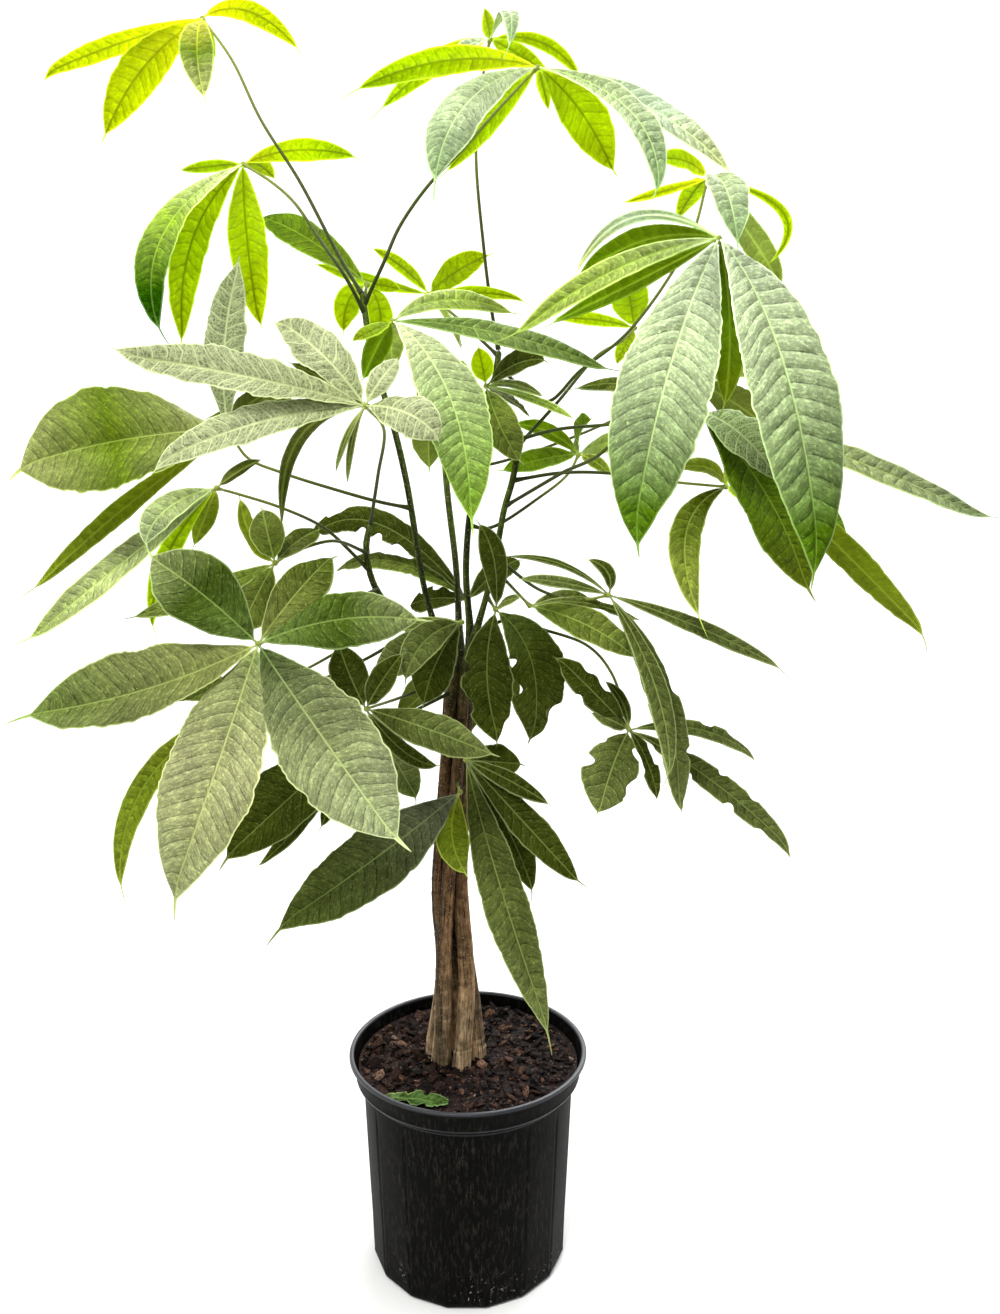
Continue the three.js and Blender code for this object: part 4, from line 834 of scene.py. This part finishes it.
# A leaflet as a closed thin skin. Across it the height is fold * |w| - droop * |w|^2.2 times the half width,
# plus a bulge between each two veins, |sin(pi * vein count)|^0.7, that dies out at midrib and margin, plus a
# slow wave of the margin. The vein count grows along the blade and leans forward with |w|.
def bladePart(rng, hub, depth, look, under, wide, tip, via=None, torn=0.0, tail=None):
    face = unit(np.array(facing["under" if under else "top"]))
    ends = hub, seen(*tip, depth), via and seen(*via, depth), face
    length = runAlong(midrib(*ends, np.linspace(0, 1, 200)))[-1]
    broad, fine = wide >= blade["broad"], wide >= blade["fine"]
    veins = int(np.clip(round(length / blade["veinGap"]), 7, 22))
    rows = int(np.clip(veins * (11 if fine else 8), 56, 230))
    across = 25 if fine else 17 if wide >= blade["middling"] else 13
    t = np.linspace(0, 1, rows) ** 0.92
    s = t[:, None]
    # The drip tip runs on past the plan's tip, unless the plan names a tail.
    runOn = blade["runOn"] if tail is None else 0
    if tail is None:
        blunt = look in netted or look == "quilted" or torn
        tail = blade["bluntTail" if blunt else "broadTail" if broad else "tail"]
    path = midrib(*ends, t * (1 + runOn * tail))
    along = tangents(path)
    up = unit(face - (along @ face)[:, None] * along)
    side = np.cross(up, along)
    turn = np.radians(rng.uniform(-1, 1) * blade["roll"] + rng.uniform(-1, 1) * blade["twist"] * (s - 0.3))
    turn = turn * smoothStep(0, 0.2, s)
    up, side = up * np.cos(turn) + side * np.sin(turn), side * np.cos(turn) - up * np.sin(turn)
    neck = blade["neck"] / length
    half = outlineShare(s, broad, tail) * wide / 2
    half = np.maximum(half * smoothStep(0, 1.6 * neck, s), blade["neckHalf"] * (s < 0.5))
    half = np.maximum(half, 0.12)
    w = np.linspace(-1, 1, across)
    w = np.sign(w) * np.abs(w) ** 1.25
    share, left = np.abs(w), w < 0
    page = rng.uniform(0, 60) + 20 * left
    rough = softNoise(s * length / 9, page) + 0.5 * softNoise(s * length / 3.2, page)
    rough = blade["ragged"] * rough * (2 if look in netted else 1)
    bite = torn * np.clip(softNoise(s * length / blade["tearGrain"], page + 9) - 0.1, 0, 0.7)
    x = half * w * (1 + (rough - bite) * share ** 3)
    count = veins * (s ** 0.95 - blade["veinLean"] * half / length * share ** 1.35)
    count = count + np.where(left, 0.37, 0.0) + rng.uniform(0, 1)
    count = count + 0.36 * softNoise(s * veins / 2.6, page + 1.6 * share)
    fold = blade["fold"] * rng.uniform(0.6, 1.3)
    droop = blade["droop"] * rng.uniform(0.5, 1.3)
    lift = half * (fold * share - droop * share ** 2.2)
    bulge = np.abs(np.sin(math.pi * count)) ** 0.7 * np.sin(math.pi * share ** 0.8) ** 0.7
    bulge = bulge * (0.75 + 0.45 * softNoise(s * veins / 1.7, page + 2.2 * share))
    grain = blade["puckerGrain"]
    pucker = softNoise(s * length / grain, x / grain + page) * np.sin(math.pi * share ** 0.8)
    quilt = blade["quilt"] * bulging.get(look, 1.0) * length / veins * np.minimum(1, half / 9)
    lift += quilt * (bulge + blade["pucker"] * pucker)
    lift += blade["ruffle"] * half * softNoise(s * length / blade["ruffleGrain"], page + 5) * share ** 3
    phase = rng.uniform(0, 6, 2)
    wave = np.sin(2 * math.pi * np.where(left, 2.6, 3.1) * s + np.where(left, *phase))
    lift += blade["wave"] * half * wave * share ** 2.5
    lift *= smoothStep(0.5 * neck, 2.5 * neck, s)
    curl = rng.uniform(-1, 1) * blade["curl"] * length * np.clip((s - 0.84) / 0.16, 0, 1) ** 2
    place = path[:, None] + side[:, None] * (x + curl)[..., None]
    rib = blade["ribThick"] * (1 - 0.75 * s) * np.exp(-(x / 1.1) ** 2) * smoothStep(0, 1, half)
    stem = 2 * blade["neckHalf"] * (1 - smoothStep(0.6 * neck, 1.8 * neck, s)) * np.sqrt(1 - share ** 2)
    thick = blade["thin"] + (blade["thick"] - blade["thin"]) * (1 - share ** 3) + rib
    thick = np.maximum(thick * np.minimum(1, half / 1.2), stem + 0.1)
    top, bottom = [place + up[:, None] * (lift + level * thick)[..., None] for level in (0.35, -0.65)]
    grain = np.stack([count, np.abs(x), half * (1 - share)], axis=-1)
    tone = toneAlong(looks[look][:3], np.clip(s * early.get(look, 1.0), 0, 1)) * np.ones((across, 1))
    tone[..., :3] *= rng.uniform(0.92, 1.08)
    tone[..., 3] = looks[look][3]
    edge = 1 + 0.1 * softNoise(s * 5 + rng.uniform(0, 60), w * 1.5) - 0.08 * share ** 4
    edge = edge * (1 + rng.uniform(-1, 1) * blade["halves"] * np.tanh(6 * w))
    tone[..., :3] *= edge[..., None] * blade["brightness"]
    # The upper side takes the first material, or the fourth if netted, and all the rest is underside.
    upper = np.tile(np.arange(2 * across) < across - 1, rows - 1)
    number = np.concatenate([np.where(upper, 3 if look in netted else 0, 1), np.ones(4 * across, int)])
    return leafSkin(top, bottom, grain, tone, number)


# The stalk from inside the stem to just past the hub: a tube with a swollen foot and a swollen hub.
def stalkPart(root, way, hub, stemWide):
    points = [root, *way, hub]
    t = np.linspace(0, 1, 400)
    run = runAlong(smoothCurve(points, t))
    start = t[np.searchsorted(run, 0.55 * stemWide)]
    path = smoothCurve(points, np.linspace(start, 1, max(stalk["min"], int(run[-1] / stalk["step"]))))
    beyond = tangents(path)[-1] * np.array([[1.0], [1.9], [2.3]])
    path = np.vstack([path, path[-1] + beyond])
    run = runAlong(path)
    left = run[-1] - run
    radius = stalk["root"] + (stalk["hub"] - stalk["root"]) * run / run[-1]
    radius = radius + stalk["rootSwell"] * np.exp(-(run / 7) ** 2)
    radius = radius + stalk["hubSwell"] * np.exp(-((left - 2.5) / 4) ** 2)
    radius = radius * np.sqrt(np.clip(left / 2.3, 0.02, 1))
    reference = np.eye(3)[int(np.argmin(np.abs(unit(path[-1] - path[0]))))]
    rings = tubeRings(path, radius[:, None], stalk["sides"], reference)
    tone = toneAlong(stalk["tones"], run / run[-1])
    tone[:, :3] *= blade["brightness"]
    tone = np.repeat(tone[:, None], stalk["sides"], axis=1)
    return skinPart(rings, 2, leafTone=tone, leafGrain=np.zeros(rings.shape))


# Reads a row of the plan: words, numbers, points of numbers with commas, and options such as torn=0.9.
def readRow(row):
    words = [word for word in row.split() if "=" not in word]
    values = [tuple(map(int, word.split(","))) if "," in word else int(word) if word.isdigit() else word
              for word in words]
    options = [word.split("=") for word in row.split() if "=" in word]
    return values, {key: float(value) for key, value in options}


# A compound leaf: its stalk, which starts at the stem point nearest to the given pixel, and its leaflets.
def leafPiece(name, plan, rng):
    (stem, at, centre, *legs), _ = readRow(plan[0])
    hub = seen(*centre)
    samples = stemSamples[stem]
    root = samples[np.argmin(np.linalg.norm(pixelOf(samples) - np.array(at), axis=1))]
    # A pixel without a depth lies evenly between the stem and the hub.
    step = (hub[1] - root[1]) / (len(legs) + 1)
    way = [seen(*leg) if len(leg) > 2 else seen(*leg, root[1] + step * (i + 1)) for i, leg in enumerate(legs)]
    stemWide = stemRadius(root[2]) if root[2] < trunk["split"] else shoots[stem]["radius"]
    parts = [stalkPart(root, way, hub, stemWide)]
    for row in plan[1:]:
        (look, *rest), options = readRow(row)
        under = rest[0] == "under"
        parts.append(bladePart(rng, hub, centre[2], look, under, *rest[under:], **options))
    materials = [leafUpper, leafUnder, stalkGreen, leafNetted]
    makePiece(name.replace("_", "-") + "-green", parts, materials, name)


leafRandom = np.random.default_rng(blade["seed"])
for name, plan in leafPlan.items():
    leafPiece(name, plan.splitlines(), leafRandom)
print("leaves are built")

# The pot (mm): its profile of radius and height, up outside and down inside; bodyLow and bodyHigh are the
# heights between which the creases at the panels' corners fade in and out.
pot = {"height": 237.0, "panels": 16, "band": 25.0, "sides": 512, "step": 7.0, "crease": 1.1, "creaseHalf": 1.6,
       "bodyLow": (4, 16), "bodyHigh": (185, 203), "wall": (104, 105.5), "radius": 108, "cornerRadius": 110,
       "outer": [(0, 0), (60, 0), (99, 0), (101.5, 0.3), (104.5, 2.0), (106, 5), (106.6, 20), (107.4, 50),
                 (109, 90), (110.7, 135), (112.2, 180), (113, 200), (113.3, 204), (113.1, 206.5),
                 (113.9, 208), (114.7, 209.3), (116.5, 210.2), (119.4, 211.2), (120.8, 212), (121.2, 213.4),
                 (121, 214.8), (121.3, 217), (122.4, 223), (123.7, 229.5), (124, 231.5), (125.2, 232.2),
                 (127, 232.6), (127.9, 233.6), (128, 235), (127.5, 236.4), (126.2, 237), (124, 237),
                 (123.1, 236.4), (122.7, 235), (122, 232), (120.5, 226), (119, 220), (117.5, 214.8),
                 (112, 209.5), (110.5, 206), (109.5, 190), (108.6, 150), (106, 90), (103.5, 20), (102.5, 6),
                 (100, 3), (60, 3), (0, 3)]}


# A lathe round the Z axis from a profile (mm): the first and last points are the poles. Long steps are cut up.
def turned(profile, sides, longest):
    profile = np.asarray(profile, float)
    rows = [profile[1:2]]
    for a, b in zip(profile[1:-2], profile[2:-1]):
        steps = max(1, int(np.ceil(np.linalg.norm(b - a) / longest)))
        rows.append(a + (b - a) * (np.arange(1, steps + 1) / steps)[:, None])
    rows = np.concatenate(rows)
    radius, a = rows[:, :1], circle(sides)
    return np.stack(np.broadcast_arrays(radius * np.cos(a), radius * np.sin(a), rows[:, 1:]), axis=-1)


# The body is a polygon of flat panels at the foot that turns round towards the band. At each corner a narrow
# crease is pressed in, deepest at half height.
def panelled(rings):
    x, y, z = np.moveaxis(rings, -1, 0)
    shade = np.clip(1 - z / (pot["height"] - pot["band"]), 0, 1)
    step = 2 * math.pi / pot["panels"]
    angle = np.arctan2(y, x) + math.pi / 2
    off = angle - step * np.round(angle / step)
    corner = (step / 2 - np.abs(off)) * pot["cornerRadius"]
    body = smoothStep(*pot["bodyLow"], z) * (1 - smoothStep(*pot["bodyHigh"], z))
    depth = pot["crease"] * np.exp(-(corner / pot["creaseHalf"]) ** 2) * body
    depth = depth * smoothStep(*pot["wall"], np.hypot(x, y))
    k = 1 + shade * (math.cos(step / 2) / np.cos(off) - 1) - depth / pot["radius"]
    return np.stack([x * k, y * k, z], axis=-1)


potRings = panelled(turned(pot["outer"], pot["sides"], pot["step"]))
makePiece("nursery-pot", [skinPart(potRings, 0)], [potPlastic], "pot", sharp=60)
print("pot is built")

# The soil (mm): edge is its radius at the pot's wall; spread the radius over which chips are strewn, wall the
# one that they stay within, and stemRoom and scrapRoom how far they keep from stems and from the torn leaf.
soil = {"level": 221.0, "lift": 2.4, "mound": 2.0, "sides": 300, "step": 12.0, "surfaceRings": 110,
        "edge": 118.2, "foot": [(0, 3.3), (70, 3.3), (97.5, 3.3), (101, 13), (108.4, 206), (118.2, 220.5)],
        "clods": [(1.5, 17, 0, 0), (1.1, 6.5, 9, 0), (0.7, 2.6, 0, 5)],
        "chips": 1900, "spread": 113, "wall": 116.5, "stemRoom": 9, "scrapRoom": 13, "seed": 21,
        "tones": ("#090605", "#1E1412", "#39271F", "#66493A", "#A18C7B")}
# The torn piece of leaf on the soil (mm): the ends of its line, its width, how high it lies and arches, and
# its waist between two lobes: where, how deep and how long.
scrap = {"from": (-82.0, -80.0), "to": (-18.0, -89.0), "across": 23.0, "rise": 3.4, "arch": 6.0, "rows": 90,
         "cols": 25, "waist": (0.36, 0.62, 0.06), "thick": 0.4, "tones": ("#6E8C40", "#547632", "#46622A")}


# Height of the soil: a low mound with clods of three sizes of soft noise, which die out at the wall.
def soilHeight(x, y):
    inward = np.clip(1 - np.hypot(x, y) / soil["edge"], 0, 1)
    clods = sum(high * softNoise(x / size + i, y / size + j) for high, size, i, j in soil["clods"])
    return soil["level"] + soil["lift"] + soil["mound"] * inward + clods * smoothStep(0, 0.05, inward)


# The filled body of the soil: a plug to the wall of the pot, with the rough surface on it.
def soilBody():
    plug = turned(soil["foot"] + [(0, 0)], soil["sides"], soil["step"])
    a = circle(soil["sides"])
    r = soil["edge"] * (1 - np.linspace(0, 1, soil["surfaceRings"]) ** 0.9)[:-1, None]
    x, y = r * np.cos(a), r * np.sin(a)
    rings = np.concatenate([plug, np.stack([x, y, soilHeight(x, y)], axis=-1)])
    shade = 0.5 + 0.5 * softNoise(rings[..., 0] / 5, rings[..., 1] / 5)
    redder = smoothStep(30, -90, rings[..., 0]) * 0.25
    return skinPart(rings, 0, soilTone=toneAlong(soil["tones"][:4], np.clip(shade * 0.55 + redder, 0, 1)))


# Chips of bark: each is a flat six-sided slab with jagged corners, turned and tilted at random, half sunk.
# Those too near a stem, the wall or the torn leaf are left out.
def barkChips():
    rng = np.random.default_rng(soil["seed"])
    n = soil["chips"]
    far = soil["spread"] * np.sqrt(rng.random(n))
    where = rng.uniform(0, 2 * math.pi, n)
    cx, cy = far * np.cos(where), far * np.sin(where)
    big = np.clip(rng.gamma(2.4, 0.9, n), 0.8, 5.4) * (1 + 0.35 * smoothStep(30, -60, cx))
    a = circle(6) + rng.uniform(-0.35, 0.35, (n, 6))
    r = big[:, None] * rng.uniform(0.75, 1.2, (n, 6))
    stretch = rng.uniform(1.0, 2.1, n)[:, None]
    uneven = rng.uniform(-0.1, 0.1, (n, 6)) * big[:, None]
    flat = np.stack([r * np.cos(a) * stretch, r * np.sin(a), uneven], axis=-1)
    thick = big[:, None, None] * rng.uniform(0.22, 0.42, (n, 1, 1)) * np.array([0.0, 0.0, 1.0])
    inner = flat * np.array([0.72, 0.72, 1.0])
    layers = np.stack([inner - thick, flat, inner + thick], axis=1)
    turn, tilt, lean = rng.uniform(0, 2 * math.pi, n), rng.normal(0, 0.42, n), rng.normal(0, 0.42, n)
    c, s, none, one = np.cos(turn), np.sin(turn), np.zeros(n), np.ones(n)
    spin = np.stack([c, -s, none, s, c, none, tilt, lean, one], axis=1).reshape(n, 3, 3)
    centre = np.stack([cx, cy, soilHeight(cx, cy) + 0.3 * big], axis=1)
    points = np.einsum("nab,nljb->nlja", spin, layers) + centre[:, None, None]
    reach = np.hypot(points[..., 0], points[..., 1]).max(axis=(1, 2))
    feet = np.stack([trunkPoints(s["angle"], np.array([soil["level"] + 1]))[0] for s in shoots.values()])
    nearest = np.min(np.linalg.norm(centre[:, None, :2] - feet[None, :, :2], axis=2), axis=1)
    start, line = np.array(scrap["from"]), np.array(scrap["to"]) - scrap["from"]
    nearScrap = start + np.clip((cx - start[0]) / line[0], 0, 1)[:, None] * line
    off = np.linalg.norm(centre[:, :2] - nearScrap, axis=1)
    keep = (reach < soil["wall"]) & (nearest > soil["stemRoom"] + 0.8 * big) & (off > soil["scrapRoom"] + big)
    points, cx = points[keep], cx[keep]
    n = len(points)
    j = np.arange(6)
    k = (j + 1) % 6
    band = np.stack([j, k, k + 6, j + 6], axis=1)
    fans = np.array([[0, b + 1, b] for b in range(1, 5)] + [[12, 12 + b, 13 + b] for b in range(1, 5)])
    base = (18 * np.arange(n))[:, None, None]
    pick = np.clip(rng.beta(1.1, 2.8, n) + 0.08 * smoothStep(30, -80, cx), 0, 1)
    tone = np.repeat(toneAlong(soil["tones"], pick), 18, axis=0)
    quads, fans = (base + np.concatenate([band, band + 6])).reshape(-1, 4), (base + fans).reshape(-1, 3)
    return {"points": points.reshape(-1, 3), "quads": quads, "fans": fans,
            "number": np.zeros(len(quads) + len(fans), int), "attributes": {"soilTone": tone}}


makePiece("bark-mulch", [soilBody(), barkChips()], [mulch], "soil", sharp=28)
print("soil is built")


# A leaf blade with an uneven, torn edge: its half width is a sine arch broken up by soft noise, and its
# surface is creased into bulges between veins.
def scrapPart():
    rise = soil["level"] + scrap["rise"]
    a, c = np.array([*scrap["from"], rise]), np.array([*scrap["to"], rise])
    b = (a + c) / 2 + (0.0, -3.0, scrap["arch"])
    t = np.linspace(0, 1, scrap["rows"])
    s = t[:, None]
    path = bentCurve(a, b, c, t)
    along = tangents(path)
    side = unit(np.cross((0.0, 0.0, 1.0), along))
    up = np.cross(along, side)
    w = np.linspace(-1, 1, scrap["cols"])
    share, page = np.abs(w), np.sign(w) * 4
    tear = 1 + 0.75 * softNoise(s * 8, page + 7.3) * share
    tear = np.clip(tear + 0.25 * softNoise(s * 26, page + 2.1) * share, 0.3, 1.25)
    where, deep, long = scrap["waist"]
    waist = 1 - deep * np.exp(-((s - where) / long) ** 2)
    half = scrap["across"] / 2 * np.sin(math.pi * (0.06 + 0.88 * s)) ** 0.6 * waist
    x = half * w * tear
    count = 9 * (s - 0.12 * share)
    lift = np.abs(np.sin(math.pi * count)) ** 0.8 * np.sin(math.pi * share ** 0.7) ** 0.6 + 1.6 * share
    lift = lift + 1.5 * softNoise(s * 6, w * 2)
    place = path[:, None] + side[:, None] * x[..., None]
    top, bottom = [place + up[:, None] * (lift + level * scrap["thick"])[..., None] for level in (0.5, -0.5)]
    grain = np.stack([count, np.abs(x), half * (1 - share)], axis=-1)
    tone = np.repeat(toneAlong(scrap["tones"], t)[:, None], scrap["cols"], axis=1)
    tone[..., :3] *= blade["brightness"] * (1 + 0.6 * softNoise(s * 7 + 3, w * 2.4 + 8))[..., None]
    tone[..., 3] = 0.1
    return leafSkin(top, bottom, grain, tone, 0, mirrored=True)


makePiece("torn-leaf", [scrapPart()], [leafUpper], "leaf_scrap")
print("scrap is built")

# The stage (m): a round floor, a white room that is brighter behind the plant than behind the camera, and soft
# rectangular lights, each with its place, the point it looks at, its sides, power and colour.
stage = {"floor": 1.5, "floorBack": 0.3, "sides": 96, "room": (-0.5, 0.3, 0.42, 1.4), "lights": {
    "windowBehind": ((0.7, 1.9, 2.3), (0.0, 0.0, 0.75), (2.2, 1.6), 60.0, (1.0, 1.0, 1.0)),
    "skyAbove": ((-0.5, -1.3, 2.7), (0.0, 0.0, 0.7), (0.8, 0.8), 62.0, (1.0, 1.0, 1.0)),
    "frontLeft": ((-1.7, -1.9, 1.7), (0.0, 0.0, 0.6), (1.2, 1.2), 14.0, (1.0, 0.99, 0.97))}}
scene = bpy.context.scene


# Pale studio floor, plain matt.
def makeFloor():
    material, add = newMaterial("paleStudioFloor")
    closeMaterial(add, rgba("#F5F5F3"), 0.9, 0.1)
    mesh = bpy.data.meshes.new("studioFloor")
    a, wide = circle(stage["sides"]), stage["floor"]
    rim = np.stack([wide * np.cos(a), stage["floorBack"] + wide * np.sin(a), 0 * a], axis=1)
    mesh.from_pydata(rim.tolist(), [], [tuple(range(len(a)))])
    mesh.materials.append(material)
    floor = bpy.data.objects.new("studioFloor", mesh)
    scene.collection.objects.link(floor)


# A soft rectangular light at a place, turned to look at a point.
def makeLight(name, place, target, size, power, colour):
    lamp = bpy.data.lights.new(name, "AREA")
    lamp.shape, lamp.size, lamp.size_y = "RECTANGLE", size[0], size[1]
    lamp.energy, lamp.color = power, colour
    light = bpy.data.objects.new(name, lamp)
    back = unit(np.array(place) - np.array(target))
    right = unit(np.cross((0.0, 0.0, 1.0), back))
    matrix = np.eye(4)
    matrix[:3] = np.stack([right, np.cross(back, right), back, place], axis=1)
    light.matrix_world = Matrix(matrix.tolist())
    scene.collection.objects.link(light)


# The room: its light goes by the direction's Y share.
def makeWorld():
    world = bpy.data.worlds.new("whiteStudio")
    world.use_nodes = True
    world.node_tree.nodes.clear()
    add = partial(addNode, world.node_tree)
    ahead = add("SeparateXYZ", add("TexCoord", out="Generated"), out="Y")
    strength = add("MapRange", ahead, *stage["room"], **soft)
    add("OutputWorld", add("Background", (1.0, 1.0, 1.0, 1.0), strength))
    scene.world = world


makeFloor()
makeWorld()
for name, settings in stage["lights"].items():
    makeLight(name, *settings)
lens = bpy.data.cameras.new("photoCamera")
lens.sensor_fit = "VERTICAL"
lens.sensor_height = lens.sensor_width = view["film"]
lens.lens = view["film"] * view["focal"] / view["tall"]
lens.clip_end = 50.0
camera = bpy.data.objects.new("photoCamera", lens)
camera.location = [v * mm for v in view["place"]]
camera.rotation_euler = (math.pi / 2 - view["down"], 0.0, 0.0)
scene.collection.objects.link(camera)
scene.camera = camera
scene.view_settings.view_transform = "Standard"
print("stage is set")
